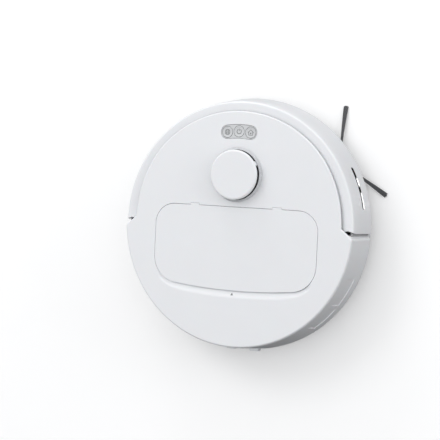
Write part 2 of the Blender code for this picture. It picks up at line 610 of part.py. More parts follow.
# ---- main brush ---------------------------------------------------------------------------
def main_brush(mat):
    wall = 0.002
    housing = box("brush_housing", (-CHAMBER_X - wall, CHAMBER_Y[0] - wall, WALL + GAP),
                  (CHAMBER_X + wall, CHAMBER_Y[1] + wall, CHAMBER_Z + wall), mat["grey"])
    cut(housing, box("chamber", (-CHAMBER_X, CHAMBER_Y[0], -0.01),
                     (CHAMBER_X, CHAMBER_Y[1], CHAMBER_Z), None))
    cut(housing, box("dust_outlet", (-0.045, CHAMBER_Y[1] - 0.002, 0.009),
                     (0.045, CHAMBER_Y[1] + 0.004, 0.028), None))

    core = [(BRUSH_R - 0.0060, BRUSH_HALF_L - 0.003), (BRUSH_R - 0.0060, -BRUSH_HALF_L + 0.003)]
    ends = [(0.0, BRUSH_HALF_L + 0.0025), (0.0040, BRUSH_HALF_L + 0.0025), (0.0040, BRUSH_HALF_L),
            (0.0120, BRUSH_HALF_L), (0.0120, BRUSH_HALF_L - 0.003)]
    profile = ends + core + [(r, -z) for r, z in reversed(ends)]
    roller = turned("main_brush_roller", profile, mat["bristle"], at=(0.0, BRUSH_Y, BRUSH_Z), sides=20)
    roller.rotation_euler = (0.0, math.pi / 2, 0.0)
    for index in range(BRUSH_FINS):
        join(roller, brush_fin(index))

    guard = box("brush_guard", (-GUARD_HALF_X, GUARD_Y[0], 0.0), (GUARD_HALF_X, GUARD_Y[1], WALL - GAP),
                mat["base"])
    cut(guard, box("guard_opening", (-CHAMBER_X + 0.003, CHAMBER_Y[0] + 0.003, -0.01),
                   (CHAMBER_X - 0.003, CHAMBER_Y[1] - 0.003, 0.006), None))
    round_edges(guard, 0.0004, 1)

    motor = rod("brush_motor", (-0.0870, -0.0785, 0.0160), (-0.0320, -0.0785, 0.0160),
                0.0105, mat["steel"], 16)
    join(motor, box("brush_gearbox", (-0.0970, -0.0880, 0.0040), (-0.0865, -0.0400, 0.0290), None))


def brush_fin(index):
    """One helical rubber fin of the roller, drawn as a twisted strip."""
    steps = 8
    turn = math.radians(60.0)
    phase = math.radians(360.0 / BRUSH_FINS * index)
    bm = bmesh.new()
    rows = []
    for step in range(steps + 1):
        x = -BRUSH_HALF_L + 0.004 + (2 * BRUSH_HALF_L - 0.008) * step / steps
        angle = phase + turn * abs(2.0 * step / steps - 1.0)
        ring = []
        for radius, shift in ((0.0105, -0.0009), (BRUSH_R, -0.0005), (BRUSH_R, 0.0005), (0.0105, 0.0009)):
            y = radius * math.cos(angle) - shift * math.sin(angle)
            z = radius * math.sin(angle) + shift * math.cos(angle)
            ring.append(bm.verts.new((x, BRUSH_Y + y, BRUSH_Z + z)))
        rows.append(ring)
    for first, second in zip(rows, rows[1:]):
        for i in range(4):
            j = (i + 1) % 4
            bm.faces.new((first[i], first[j], second[j], second[i]))
    bm.faces.new(rows[0])
    bm.faces.new(rows[-1])
    bmesh.ops.recalc_face_normals(bm, faces=bm.faces)
    return from_bmesh("brush_fin_%d" % index, bm, None)


# ---- side brush ---------------------------------------------------------------------------
def side_brush(mat):
    hub = [(0.0, 0.0080), (0.0032, 0.0080), (0.0032, -0.0006), (0.0130, -0.0006), (0.0130, -0.0022),
           (0.0070, -0.0022), (0.0070, -0.0052), (0.0, -0.0052)]
    turned("side_brush_hub", hub, mat["base"], at=SIDE_BRUSH, sides=24)
    ring = [(0.0073, -0.0025), (0.0125, -0.0025), (0.0125, -0.0050), (0.0073, -0.0050)]
    arms = turned("side_brush_arms", ring, mat["bristle"], at=SIDE_BRUSH, sides=24, ring=True)
    for index, angle in enumerate(SIDE_BRUSH_ANGLES):
        join(arms, bristle_blade(index, angle))
    box("side_brush_motor", SIDE_BRUSH + Vector((-0.0130, -0.0100, 0.0090)),
        SIDE_BRUSH + Vector((0.0160, 0.0130, 0.0400)), mat["dark"], 0.0020)


def bristle_blade(index, angle):
    """A flat tuft of bristles that droops from the hub to just above the floor."""
    outline = [(0.0100, -0.0016), (0.0300, -0.0018), (SIDE_BRUSH_REACH, -0.0034),
               (SIDE_BRUSH_REACH, 0.0034), (0.0300, 0.0018), (0.0100, 0.0016)]
    blade = plate("bristles_%d" % index, outline, -0.0006, 0.0006, None)
    droop = math.atan2(0.0046, SIDE_BRUSH_REACH - 0.010)
    blade.location = SIDE_BRUSH + Vector((0.0, 0.0, -0.0031))
    blade.rotation_euler = (0.0, droop, math.radians(angle))
    return blade


# ---- drive wheels -------------------------------------------------------------------------
def drive_side(side, sign, mat):
    pivot = Vector((sign * 0.096, ARM_PIVOT.y, ARM_PIVOT.z))
    axle = Vector((sign * WHEEL_X, WHEEL_Y, WHEEL_Z))
    near, far = ARM_X
    outline = arc((-ARM_PIVOT.z, ARM_PIVOT.y), 0.0080, 180, 360, 6)
    outline += arc((-WHEEL_Z, WHEEL_Y + 0.006), 0.0130, 0, 180, 8)
    middle = (near + far) / 2
    arm = plate("drive_arm_" + side, outline, -(far - near) / 2, (far - near) / 2, mat["dark"])
    arm.data.transform(Matrix.Rotation(math.pi / 2, 4, "Y"))
    arm.location = (sign * middle, 0.0, 0.0)
    join(arm, rod("arm_axle_" + side, (sign * (far - 0.002), axle.y, axle.z),
                  (sign * (far + 0.0060), axle.y, axle.z), 0.0040, None, 16))
    set_origin(arm, pivot)
    rod("drive_motor_" + side, (sign * 0.0655, -0.0070, 0.0270), (sign * (near - GAP), -0.0070, 0.0270),
        0.0105, mat["steel"], 16)

    half = TYRE_W / 2
    hub_profile = [(0.0, half - 0.002), (0.0120, half - 0.002), (0.0150, half - 0.004),
                   (0.0290, half - 0.001), (0.0290, -half + 0.001), (0.0262, -half + 0.001),
                   (0.0240, -half + 0.006), (0.0045, -half + 0.006), (0.0045, half - 0.006),
                   (0.0, half - 0.006)]
    hub = turned("wheel_hub_" + side, hub_profile, mat["grey"], at=axle, sides=28)
    hub.rotation_euler = (0.0, sign * math.pi / 2, 0.0)
    tread = [(0.0293, half), (0.0335, half), (TYRE_R, half - 0.002), (TYRE_R, -half + 0.002),
             (0.0335, -half), (0.0293, -half)]
    tyre = turned("tyre_" + side, tread, mat["rubber"], at=axle, sides=40, ring=True)
    tyre.rotation_euler = (0.0, sign * math.pi / 2, 0.0)
    suspension_spring(side, sign, mat)


def suspension_spring(side, sign, mat):
    """A compression spring between the swing arm and the shell, drawn as a coil."""
    turns, per_turn = 4, 8
    low, high, radius = 0.0412, 0.0600, 0.0040
    curve = bpy.data.curves.new("suspension_spring_" + side, "CURVE")
    curve.dimensions = "3D"
    curve.bevel_depth = 0.0006
    curve.bevel_resolution = 0
    curve.use_fill_caps = True
    spline = curve.splines.new("POLY")
    count = turns * per_turn + 1
    spline.points.add(count - 1)
    for index, point in enumerate(spline.points):
        angle = 2 * math.pi * index / per_turn
        height = low + (high - low) * index / (count - 1)
        point.co = (radius * math.cos(angle), radius * math.sin(angle), height, 1.0)
    coil = bpy.data.objects.new("suspension_spring_" + side, curve)
    coil.location = (sign * 0.096, 0.010, 0.0)
    curve.materials.append(mat["steel"])
    PARTS.objects.link(coil)


# ---- caster, contacts and charging --------------------------------------------------------
def caster(mat):
    socket_profile = [
        (0.0, 0.0235), (0.0195, 0.0235), (0.0195, WALL + GAP), (0.0175, WALL + GAP),
        (0.0175, 0.0215), (0.0, 0.0215)]
    socket = turned("caster_socket", socket_profile, mat["grey"], at=CASTER, sides=24)
    cut(socket, rod("stem_hole", CASTER + Vector((0, 0, 0.01)), CASTER + Vector((0, 0, 0.03)),
                    0.0036, None, 12))
    body = [(0.0, 0.0300), (0.0032, 0.0300), (0.0032, 0.0208), (0.0168, 0.0208), (0.0168, -0.0010),
            (0.0150, -0.0022), (0.0, -0.0022)]
    fork = turned("caster_fork", body, mat["dark"], at=CASTER, sides=24)
    wheel_y = CASTER.y + CASTER_TRAIL
    cut(fork, box("fork_slot", (-0.0088, wheel_y - 0.0135, -0.02), (0.0088, wheel_y + 0.0150, 0.0170), None))
    cut(fork, rod("axle_seat", (-0.0125, wheel_y, CASTER_Z), (0.0125, wheel_y, CASTER_Z), 0.0016, None, 12))
    rod("caster_axle", (-0.0120, wheel_y, CASTER_Z), (0.0120, wheel_y, CASTER_Z), 0.0012, mat["steel"], 12)
    tread = [(0.0016, 0.0080), (CASTER_R - 0.001, 0.0080), (CASTER_R, 0.0070), (CASTER_R, -0.0070),
             (CASTER_R - 0.001, -0.0080), (0.0016, -0.0080)]
    wheel = turned("caster_wheel", tread, mat["dark"], at=(0.0, wheel_y, CASTER_Z), sides=24, ring=True)
    wheel.rotation_euler = (0.0, math.pi / 2, 0.0)


def rear_contacts(mat):
    for side, x in (("right", -0.017), ("left", 0.017)):
        box("charging_contact_" + side, (x - 0.0065, 0.1668, 0.0150), (x + 0.0065, 0.1738, 0.0280),
            mat["brass"], 0.0006)
    box("dock_sensor_window", (-0.0075, 0.1640, 0.0370), (0.0075, 0.1688, 0.0450), mat["lens"])


def build():
    clear_scene()
    mat = make_materials()
    base_plate(mat)
    cliff_sensors(mat)
    battery(mat)
    top_cover(mat)
    lid(mat)
    bumper(mat)
    buttons(mat)
    turret(mat)
    dust_bin(mat)
    suction_fan(mat)
    boards(mat)
    main_brush(mat)
    side_brush(mat)
    for side, sign in (("left", 1), ("right", -1)):
        drive_side(side, sign, mat)
    caster(mat)
    rear_contacts(mat)


build()
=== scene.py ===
"""Looks for the robot vacuum: moulded shells, rubber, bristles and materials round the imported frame."""

import json
import math
import random

import bmesh
import bpy
from mathutils import Matrix, Vector


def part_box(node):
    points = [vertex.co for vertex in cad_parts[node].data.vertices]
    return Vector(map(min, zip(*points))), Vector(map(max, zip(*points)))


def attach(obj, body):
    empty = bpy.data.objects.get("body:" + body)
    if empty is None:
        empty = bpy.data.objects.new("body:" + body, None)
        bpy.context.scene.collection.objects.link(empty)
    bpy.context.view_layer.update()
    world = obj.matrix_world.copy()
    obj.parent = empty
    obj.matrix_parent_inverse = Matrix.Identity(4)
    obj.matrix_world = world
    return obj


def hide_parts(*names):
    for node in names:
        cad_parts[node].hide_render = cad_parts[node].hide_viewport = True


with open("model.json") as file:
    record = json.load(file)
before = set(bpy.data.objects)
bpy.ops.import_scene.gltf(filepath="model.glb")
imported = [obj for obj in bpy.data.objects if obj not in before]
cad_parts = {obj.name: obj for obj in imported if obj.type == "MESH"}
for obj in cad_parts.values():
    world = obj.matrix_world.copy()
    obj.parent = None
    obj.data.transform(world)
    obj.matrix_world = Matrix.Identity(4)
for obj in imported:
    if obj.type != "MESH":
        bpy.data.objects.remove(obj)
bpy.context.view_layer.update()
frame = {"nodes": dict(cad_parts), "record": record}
NODES = frame["nodes"]


# ---- sizes taken from the frame -----------------------------------------------------------
def low(node):
    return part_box(node)[0]


def high(node):
    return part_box(node)[1]


def centre_of(node):
    return (low(node) + high(node)) / 2


TOP_Z = high("top_cover").z
FLOOR_Z = low("tyre_left").z
BODY_R = high("bumper").x                  # widest point of the side wall
RIM_R = BODY_R - 0.0075                    # edge of the top face
WIDEST_Z = 0.016                           # height of the widest point
SKIRT_Z = low("top_cover").z
COVER_R = 0.152                            # front edge of the raised top
LIP_Z = 0.0692                             # underside of the raised top's front edge
SHELL_WALL = 0.0025
RIM_ROLL = 0.0024                          # roundness of the rim above the side wall
LIP_ROLL = 0.0017                          # and above the bumper
BAND_IN_R = 0.1486                         # the bumper's flat band starts here
BAND_Z = high("bumper").z
BAND_DISH = 0.0020                         # the band's inner edge lies this much below its outer edge
BAND_ROUND = 0.0026
NOTCH_IN = (0.1492, -0.0036)               # slanting end faces of the upper shell, by the bumper
NOTCH_OUT = (0.1655, 0.0098)
NOTCH_ROUND = 0.0042
NOTCH_UNDER_X = 0.1592                     # the bumper slides under the end face up to here
BAND_END = ((BAND_IN_R, 0.0012), (0.1528, 0.0006), (0.1585, -0.0019), (0.1665, 0.0021),
            (0.1731, 0.0033))            # (radius, how far back the bumper reaches there)
DECK_Z = 0.066                             # tray floor under the lid
DECK_GAP = 0.0008

GROOVE_EDGE = 0.0004                       # width of the groove's rim where the groove itself is gone
LID_HALF_W = high("bin_lid").x
LID_REAR_Y = high("bin_lid").y
LID_FRONT_Y = -0.0235
LID_FRONT_R = 0.0275
LID_REAR_R = 0.036
LID_BULGE_R = 0.745
LID_SEAM = 0.00045
TAB_X = (0.0534, 0.0661)                   # the lid's hinge tabs, in pockets in the upper shell
TAB_GAP = 0.00035
HINGE_Y, HINGE_Z = -0.0248, 0.07185
TAB_POCKET_Y = HINGE_Y - (TOP_Z - HINGE_Z) - 0.00015
LID_THICK = high("bin_lid").z - low("bin_lid").z

TURRET = centre_of("lidar_cap")
TURRET.z = 0.0
CAP_R = high("lidar_cap").x
CAP_TOP_Z = high("lidar_cap").z
BUTTON_ARC_R = 0.1247
BUTTON_PITCH = math.radians(7.75)
RIB_COUNT = 132
RIB_DEPTH = 0.0007
PILLAR_DEG = (90.0, 210.0, 330.0)
ICON_LINE = 0.00085
SLOT_Z = (0.0328, 0.0390)
SLOT_EDGE = 0.0002
SLOT_DEG = (190.0, 209.5)
VENT_Z = (0.032, 0.052)
VENT_DEG = ((21.7, 36.1), (38.2, 51.6))
VENT_DEPTH = 0.0008
VENT_EDGE = 0.00035
SIDE_BRUSH = centre_of("side_brush_hub")
SIDE_BRUSH_ANGLES = (29.35, 149.35, 269.35)
SIDE_BRUSH_REACH = 0.078
BRISTLE_SWEEP = 0.0018
BRISTLE_FROM = 0.020
BRISTLE_HALF = 0.00017
BRISTLES_PER_ARM = 54

MARK_POINTS = ((0.0, 0.0914), (0.0018, 0.0950), (-0.0018, 0.0950))

TREAD_COUNT = 26
ROLLER_FINS = 5
ROLLER_TWIST = math.radians(60.0)
TUFT_COUNT = 64
BRISTLE_TURNS = (0.0, 2.094, 4.188)        # radians, for a three-sided bristle
SCREW_RING_R = 0.138
SCREW_DEG = (62.0, 90.0, 118.0, 160.0, 214.0, 326.0, 20.0)

SHADE_X, SHADE_Z = 0.1565, 0.0145          # the base is darker beyond these, behind the notches
SHADE_Y = (-0.0130, 0.0150)
SHADE_COLOUR = (0.38, 0.38, 0.39, 1.0)
CAMERA_AT = (-0.6670, -0.0770, 1.6051)
CAMERA_RIGHT = (-0.9103, -0.0464, -0.4114)
CAMERA_UP = (0.0598, -0.9980, -0.0200)
CAMERA_LENS = 102.27
STUDIO_SIZE = 6.0
SKY_AXIS = (0.10, -0.60, 0.78)
SKY_STOPS = ((0.0, 0.02), (0.24, 0.04), (0.46, 0.42), (0.64, 0.84), (1.0, 0.92))
FLOOR_GLOW = 0.09
WALL_GLOW = 0.8
KEY_AT = (0.9, -1.0, 1.5)
KEY_SIZE = 0.9
KEY_POWER = 6.6
SIDE_AT = (-1.90, -0.42, 0.42)
SIDE_SIZE = 1.2
SIDE_POWER = 10.5
FRONT_AT = (0.45, -1.65, 0.24)
FRONT_SIZE = 0.7
FRONT_POWER = 7.4
GLINTS = (((-0.566, -0.176, -0.641), (-0.163, -0.042, 0.036), 0.13, 0.5),
          ((-0.508, -0.304, -0.641), (-0.155, -0.066, 0.036), 0.060, 0.16))


# ---- small tools --------------------------------------------------------------------------
def arc(centre, radius, start_deg, end_deg, steps):
    angles = [math.radians(start_deg + (end_deg - start_deg) * i / steps) for i in range(steps + 1)]
    return [(centre[0] + radius * math.cos(a), centre[1] + radius * math.sin(a)) for a in angles]


def polar(radius, angle, z):
    return (radius * math.cos(angle), radius * math.sin(angle), z)


def turned_about(centre, degrees):
    spin = Matrix.Rotation(math.radians(degrees), 4, "Z")
    return Matrix.Translation((centre.x, centre.y, 0.0)) @ spin


def rounded_box(low_xy, high_xy, radius, steps=5):
    (x0, y0), (x1, y1) = low_xy, high_xy
    points = arc((x1 - radius, y0 + radius), radius, -90, 0, steps)
    points += arc((x1 - radius, y1 - radius), radius, 0, 90, steps)
    points += arc((x0 + radius, y1 - radius), radius, 90, 180, steps)
    return points + arc((x0 + radius, y0 + radius), radius, 180, 270, steps)


def box_outline(node, axes, margin, radius):
    """Round-cornered outline of a node's box in two axes, grown by margin."""
    lowest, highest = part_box(node)
    a, b = axes
    first = (lowest[a] - margin, lowest[b] - margin)
    return rounded_box(first, (highest[a] + margin, highest[b] + margin), radius)


def circle(centre, radius, steps=48):
    return arc(centre, radius, 0, 360, steps)[:-1]


def grown(loop, distance):
    """A closed counter-clockwise loop moved outwards."""
    moved = []
    for i, (x, y) in enumerate(loop):
        (ax, ay), (bx, by) = loop[i - 1], loop[(i + 1) % len(loop)]
        tx, ty = bx - ax, by - ay
        size = math.hypot(tx, ty) or 1.0
        step = distance[i] if isinstance(distance, list) else distance
        moved.append((x + ty / size * step, y - tx / size * step))
    return moved


def smooth(value):
    value = min(1.0, max(0.0, value))
    return value * value * (3 - 2 * value)


def new_piece(name, bm, body, material, node=None, sharp=38.0, inside=None):
    """Makes the piece; inside is (material, test) for the faces that take a second material."""
    bmesh.ops.remove_doubles(bm, verts=bm.verts, dist=0.000004)
    bmesh.ops.recalc_face_normals(bm, faces=bm.faces)
    mesh = bpy.data.meshes.new(name)
    mesh.materials.append(material)
    if inside:
        mesh.materials.append(inside[0])
        for face in bm.faces:
            face.material_index = int(inside[1](face.calc_center_median(), face.normal))
    bm.to_mesh(mesh)
    bm.free()
    mesh.shade_smooth()
    mesh.set_sharp_from_angle(angle=math.radians(sharp))
    piece = bpy.data.objects.new(name, mesh)
    bpy.context.scene.collection.objects.link(piece)
    normals = piece.modifiers.new("weighted_normals", "WEIGHTED_NORMAL")
    normals.keep_sharp = True
    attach(piece, body)
    if node:
        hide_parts(*([node] if isinstance(node, str) else node))
    return piece


def add_ring(bm, points):
    return [bm.verts.new(p) for p in points]


def bridge(bm, first, second, closed=True):
    count = len(first)
    for i in range(count if closed else count - 1):
        j = (i + 1) % count
        bm.faces.new((first[i], first[j], second[j], second[i]))


def skin(bm, rings, ends=False):
    """Walls between successive rings, and a face over the first and the last when ends is set."""
    for first, second in zip(rings, rings[1:]):
        bridge(bm, first, second)
    if ends:
        for ring in (rings[0], rings[-1]):
            bm.faces.new(ring)


def fill(bm, rings):
    """A flat face between closed rings, with the inner ones left open."""
    edges = []
    for ring in rings:
        for i, vert in enumerate(ring):
            other = ring[(i + 1) % len(ring)]
            edges.append(bm.edges.get((vert, other)) or bm.edges.new((vert, other)))
    bmesh.ops.triangle_fill(bm, edges=edges, use_beauty=True)


def moulded(bm, outer, holes, top, bottom, edge=0.0004, steps=4, foot=None):
    """A plate with rolled edges round its outline and its openings; top may lie under bottom."""
    down = -1.0 if top > bottom else 1.0
    tops, feet = [], []
    for loop, side in [(outer, 1.0)] + [(hole, -1.0) for hole in holes]:
        rings = []
        for i in range(steps + 1):
            angle = math.pi / 2 * i / steps
            points = grown(loop, side * edge * (math.sin(angle) - 1.0))
            z = top + down * edge * (1.0 - math.cos(angle))
            rings.append(add_ring(bm, [(x, y, z) for x, y in points]))
        if foot:
            rings.append(add_ring(bm, [(x, y, bottom - down * foot) for x, y in loop]))
            points = grown(loop, -side * foot)
            rings.append(add_ring(bm, [(x, y, bottom) for x, y in points]))
        else:
            rings.append(add_ring(bm, [(x, y, bottom) for x, y in loop]))
        skin(bm, rings)
        tops.append(rings[0])
        feet.append(rings[-1])
    fill(bm, tops)
    fill(bm, feet)


def turned(bm, profile, centre=(0.0, 0.0), steps=96, closed=False, wobble=None, across=None):
    """Revolves (radius, height) points about the vertical through centre, or about X through across."""
    rings = []
    for radius, height in profile:
        ring = []
        for i in range(steps):
            a = 2 * math.pi * i / steps
            r = radius + (wobble(a, radius, height) if wobble else 0.0)
            if across is None:
                ring.append((centre[0] + r * math.cos(a), centre[1] + r * math.sin(a), height))
            else:
                ring.append((across.x + height, across.y + r * math.cos(a), across.z + r * math.sin(a)))
        rings.append(add_ring(bm, ring))
    skin(bm, rings, ends=not closed)
    if closed:
        bridge(bm, rings[-1], rings[0])


def rounded(profile, radius, steps=4):
    """Rounds every inner corner of an open (radius, z) profile."""
    points = [profile[0]]
    for before, corner, after in zip(profile, profile[1:], profile[2:]):
        a, c, b = Vector(before), Vector(corner), Vector(after)
        reach = min(radius, (a - c).length * 0.45, (b - c).length * 0.45)
        start, end = c + (a - c).normalized() * reach, c + (b - c).normalized() * reach
        for i in range(steps + 1):
            t = i / steps
            p = start * (1 - t) ** 2 + c * 2 * t * (1 - t) + end * t * t
            points.append((p.x, p.y))
    points.append(profile[-1])
    return points


def placed(bm, matrix, make, *args, **named):
    """Runs make, then moves only what it made."""
    start = len(bm.verts)
    make(bm, *args, **named)
    bm.verts.ensure_lookup_table()
    bmesh.ops.transform(bm, matrix=matrix, verts=bm.verts[start:])


def levels(first, last, count, edges, near):
    """Even values from first to last, with a close pair at each edge so that it comes out crisp."""
    values = [first + (last - first) * i / count for i in range(count + 1)]
    lowest, highest = min(first, last), max(first, last)
    inside = [e + d for e in edges for d in (-near, near) if lowest < e + d < highest]
    kept = [v for v in values if all(abs(v - e) > 1.6 * near for e in edges)]
    return sorted(kept + inside, reverse=first > last)


def wall_radius(z):
    return RIM_R + (BODY_R - RIM_R) * (TOP_Z - z) / (TOP_Z - WIDEST_Z)


# ---- materials ----------------------------------------------------------------------------
def node_at(tree, kind, **values):
    node = tree.nodes.new(kind)
    for name, value in values.items():
        if hasattr(node, name):
            setattr(node, name, value)
        else:
            node.inputs[name.replace("_", " ")].default_value = value
    return node


def surface(name, colour, roughness, metallic=0.0, grain=2500.0, bump=0.03, tint=0.03, rough_play=0.06,
            streak=(1.0, 1.0, 1.0), coat=0.0, specular=0.5, subsurface=0.0):
    """A moulded or machined surface: slight colour drift, uneven gloss and a fine grain."""
    mat = bpy.data.materials.new(name)
    mat.use_nodes = True
    tree = mat.node_tree
    shader = tree.nodes["Principled BSDF"]
    link = tree.links.new
    values = {"Metallic": metallic, "Coat Weight": coat, "Coat Roughness": 0.12,
              "Specular IOR Level": specular, "Subsurface Weight": subsurface, "Subsurface Scale": 0.002}
    for socket, value in values.items():
        shader.inputs[socket].default_value = value
    place = tree.nodes.new("ShaderNodeTexCoord")
    stretch = node_at(tree, "ShaderNodeMapping")
    stretch.inputs["Scale"].default_value = streak
    link(place.outputs["Object"], stretch.inputs["Vector"])

    drift = node_at(tree, "ShaderNodeTexNoise", Scale=28.0, Detail=4.0)
    fine = node_at(tree, "ShaderNodeTexNoise", Scale=grain, Detail=3.0, Roughness=0.6)
    for noise in (drift, fine):
        link(stretch.outputs["Vector"], noise.inputs["Vector"])
    ramp = tree.nodes.new("ShaderNodeValToRGB")
    ramp.color_ramp.elements[0].position = 0.3
    ramp.color_ramp.elements[1].position = 0.7
    ramp.color_ramp.elements[0].color = (*[c * (1 - tint) for c in colour], 1.0)
    ramp.color_ramp.elements[1].color = (*[min(1.0, c * (1 + tint)) for c in colour], 1.0)
    link(drift.outputs["Fac"], ramp.inputs["Fac"])
    link(ramp.outputs["Color"], shader.inputs["Base Color"])

    gloss = tree.nodes.new("ShaderNodeMapRange")
    gloss.inputs["To Min"].default_value = max(0.02, roughness - rough_play)
    gloss.inputs["To Max"].default_value = min(1.0, roughness + rough_play)
    link(drift.outputs["Fac"], gloss.inputs["Value"])
    link(gloss.outputs["Result"], shader.inputs["Roughness"])

    relief = tree.nodes.new("ShaderNodeBump")
    relief.inputs["Strength"].default_value = bump
    relief.inputs["Distance"].default_value = 0.0002
    link(fine.outputs["Fac"], relief.inputs["Height"])
    link(relief.outputs["Normal"], shader.inputs["Normal"])
    return mat


MAT = {
    "shell": surface("shell_plastic", (0.80, 0.81, 0.83), 0.42, bump=0.06, tint=0.006, subsurface=0.03),
    "base": surface("base_plastic", (0.72, 0.73, 0.74), 0.55, bump=0.14, grain=1800.0, tint=0.012),
    "skirt": surface("skirt_plastic", (0.58, 0.59, 0.61), 0.5, bump=0.06, tint=0.008),
    "strip": surface("strip_plastic", (0.60, 0.61, 0.62), 0.46, bump=0.06, tint=0.01),
    "icon": surface("icon_print", (0.17, 0.175, 0.18), 0.6, bump=0.05, tint=0.02),
    # dark grey for the groove mark, and for the turret's inner faces, where it is partly their own colour
    # and partly painted shade in the slot
    "mark_and_slot_shade": surface("mark_grey_and_slot_shade", (0.20, 0.205, 0.21), 0.7, bump=0.1, tint=0.03),
    "lens": surface("black_window", (0.008, 0.008, 0.010), 0.08, bump=0.0, tint=0.1, rough_play=0.02),
    "dark": surface("dark_plastic", (0.045, 0.046, 0.050), 0.52, bump=0.15, grain=1500.0, tint=0.08),
    "grey": surface("grey_plastic", (0.30, 0.31, 0.33), 0.5, bump=0.12, grain=1600.0, tint=0.03),
    "tyre": surface("tyre_rubber", (0.035, 0.035, 0.037), 0.78, bump=0.4, grain=900.0, tint=0.15,
                    specular=0.3),
    "belt": surface("belt_rubber", (0.03, 0.03, 0.03), 0.7, bump=0.3, grain=1200.0, tint=0.1),
    "bristle": surface("bristle_nylon", (0.075, 0.077, 0.082), 0.46, bump=0.25, grain=900.0, tint=0.18,
                       streak=(1.0, 1.0, 4.0)),
    "fin": surface("fin_rubber", (0.10, 0.11, 0.13), 0.6, bump=0.25, grain=900.0, tint=0.1),
    "steel": surface("plain_steel", (0.62, 0.62, 0.64), 0.3, metallic=1.0, bump=0.12, tint=0.04,
                     streak=(0.3, 8.0, 8.0)),
    "contact": surface("contact_plating", (0.78, 0.76, 0.70), 0.28, metallic=1.0, bump=0.06, tint=0.05),
    "cell": surface("battery_wrap", (0.06, 0.12, 0.30), 0.35, bump=0.08, tint=0.06),
    "board": surface("circuit_board", (0.03, 0.16, 0.08), 0.4, bump=0.3, grain=700.0, tint=0.25),
    "bin": surface("smoked_plastic", (0.16, 0.17, 0.19), 0.18, bump=0.03, tint=0.04, coat=0.3),
    "filter": surface("filter_paper", (0.78, 0.78, 0.74), 0.9, bump=0.5, grain=1100.0, tint=0.04),
}


def shade_notches(mat):
    """Darkens the base where it stands behind the gaps between bumper and upper shell."""
    tree = mat.node_tree
    link = tree.links.new
    shader = tree.nodes["Principled BSDF"]
    plain = shader.inputs["Base Color"].links[0].from_socket
    place = tree.nodes.new("ShaderNodeTexCoord")
    parts = tree.nodes.new("ShaderNodeSeparateXYZ")
    link(place.outputs["Object"], parts.inputs["Vector"])
    side = node_at(tree, "ShaderNodeMath", operation="ABSOLUTE")
    link(parts.outputs["X"], side.inputs[0])
    across, along, up = side.outputs[0], parts.outputs["Y"], parts.outputs["Z"]
    joined = None
    tests = ((across, "GREATER_THAN", SHADE_X), (up, "GREATER_THAN", SHADE_Z),
             (along, "GREATER_THAN", SHADE_Y[0]), (along, "LESS_THAN", SHADE_Y[1]))
    for source, operation, limit in tests:
        test = node_at(tree, "ShaderNodeMath", operation=operation)
        test.inputs[1].default_value = limit
        link(source, test.inputs[0])
        if joined:
            both = node_at(tree, "ShaderNodeMath", operation="MULTIPLY")
            link(joined.outputs[0], both.inputs[0])
            link(test.outputs[0], both.inputs[1])
            joined = both
        else:
            joined = test
    mix = tree.nodes.new("ShaderNodeMix")
    mix.data_type = "RGBA"
    link(joined.outputs[0], mix.inputs[0])
    link(plain, mix.inputs[6])
    mix.inputs[7].default_value = SHADE_COLOUR
    link(mix.outputs[2], shader.inputs["Base Color"])


def soften(obj, name, width, degrees):
    bevel = obj.modifiers.new(name, "BEVEL")
    bevel.width = width
    bevel.segments = 2
    bevel.limit_method = "ANGLE"
    bevel.angle_limit = math.radians(degrees)
    return bevel


def paint_cad_nodes():
    """Every CAD node takes its record slot's material, with softly broken edges."""
    shade_notches(MAT["base"])
    slots = {row["node"]: row["material_slot"] for row in frame["record"]["subparts"]}
    for name, obj in NODES.items():
        obj.data.materials.clear()
        obj.data.materials.append(MAT[slots[name]])
        obj.data.shade_smooth()
        weld = obj.modifiers.new("weld", "WELD")
        weld.merge_threshold = 0.00001
        flat = obj.modifiers.new("flat_faces", "DECIMATE")
        flat.decimate_type = "DISSOLVE"
        flat.angle_limit = math.radians(0.6)
        soften(obj, "soft_edges", 0.00025, 32.0).harden_normals = True


# ---- outlines -----------------------------------------------------------------------------
def lid_outline(fine=1):
    bulge_y = LID_REAR_Y - LID_BULGE_R
    front_x, front_y = LID_HALF_W - LID_FRONT_R, LID_FRONT_Y + LID_FRONT_R
    rear_x = LID_HALF_W - LID_REAR_R
    rear_y = bulge_y + math.sqrt((LID_BULGE_R - LID_REAR_R) ** 2 - rear_x ** 2)
    turn = math.degrees(math.atan2(rear_y - bulge_y, rear_x))
    points = arc((front_x, front_y), LID_FRONT_R, -90, 0, 14 * fine)
    points += arc((rear_x, rear_y), LID_REAR_R, 0, turn, 22 * fine)
    points += arc((0.0, bulge_y), LID_BULGE_R, turn, 180 - turn, 40 * fine)[1:-1]
    points += arc((-rear_x, rear_y), LID_REAR_R, 180 - turn, 180, 22 * fine)
    return points + arc((-front_x, front_y), LID_FRONT_R, 180, 270, 14 * fine)


def strip_outline(grow=0.0, steps=16):
    middle, half = 270.0, math.degrees(BUTTON_PITCH)
    radius = 0.0092 + grow
    ends = [arc((0, 0), BUTTON_ARC_R, middle + s * half, middle + s * half, 1)[0] for s in (-1, 1)]
    points = arc((0, 0), BUTTON_ARC_R + radius, middle - half, middle + half, steps)
    points += arc(ends[1], radius, middle + half, middle + half + 180, steps)[1:-1]
    points += arc((0, 0), BUTTON_ARC_R - radius, middle + half, middle - half, steps)
    return points + arc(ends[0], radius, middle - half + 180, middle - half + 360, steps)[1:-1]


def groove_width(x, y):
    """Width of the finger groove outside the lid's edge: full behind it, gone beyond the corners."""
    if y < 0.060:
        return 0.0
    fade = smooth((y - 0.0655) / 0.012)
    return (0.0097 - 0.0040 * smooth((abs(x) - 0.062) / 0.050)) * fade


def groove_drop(share, full):
    """Depth of the groove, share 0 at its outer rim and 1 at the lid."""
    bowl = math.sin(math.pi / 2 * share) ** 1.5 * (1 - full) + smooth(share * 0.92) * full
    return (0.0004 + 0.0024 * full) * bowl


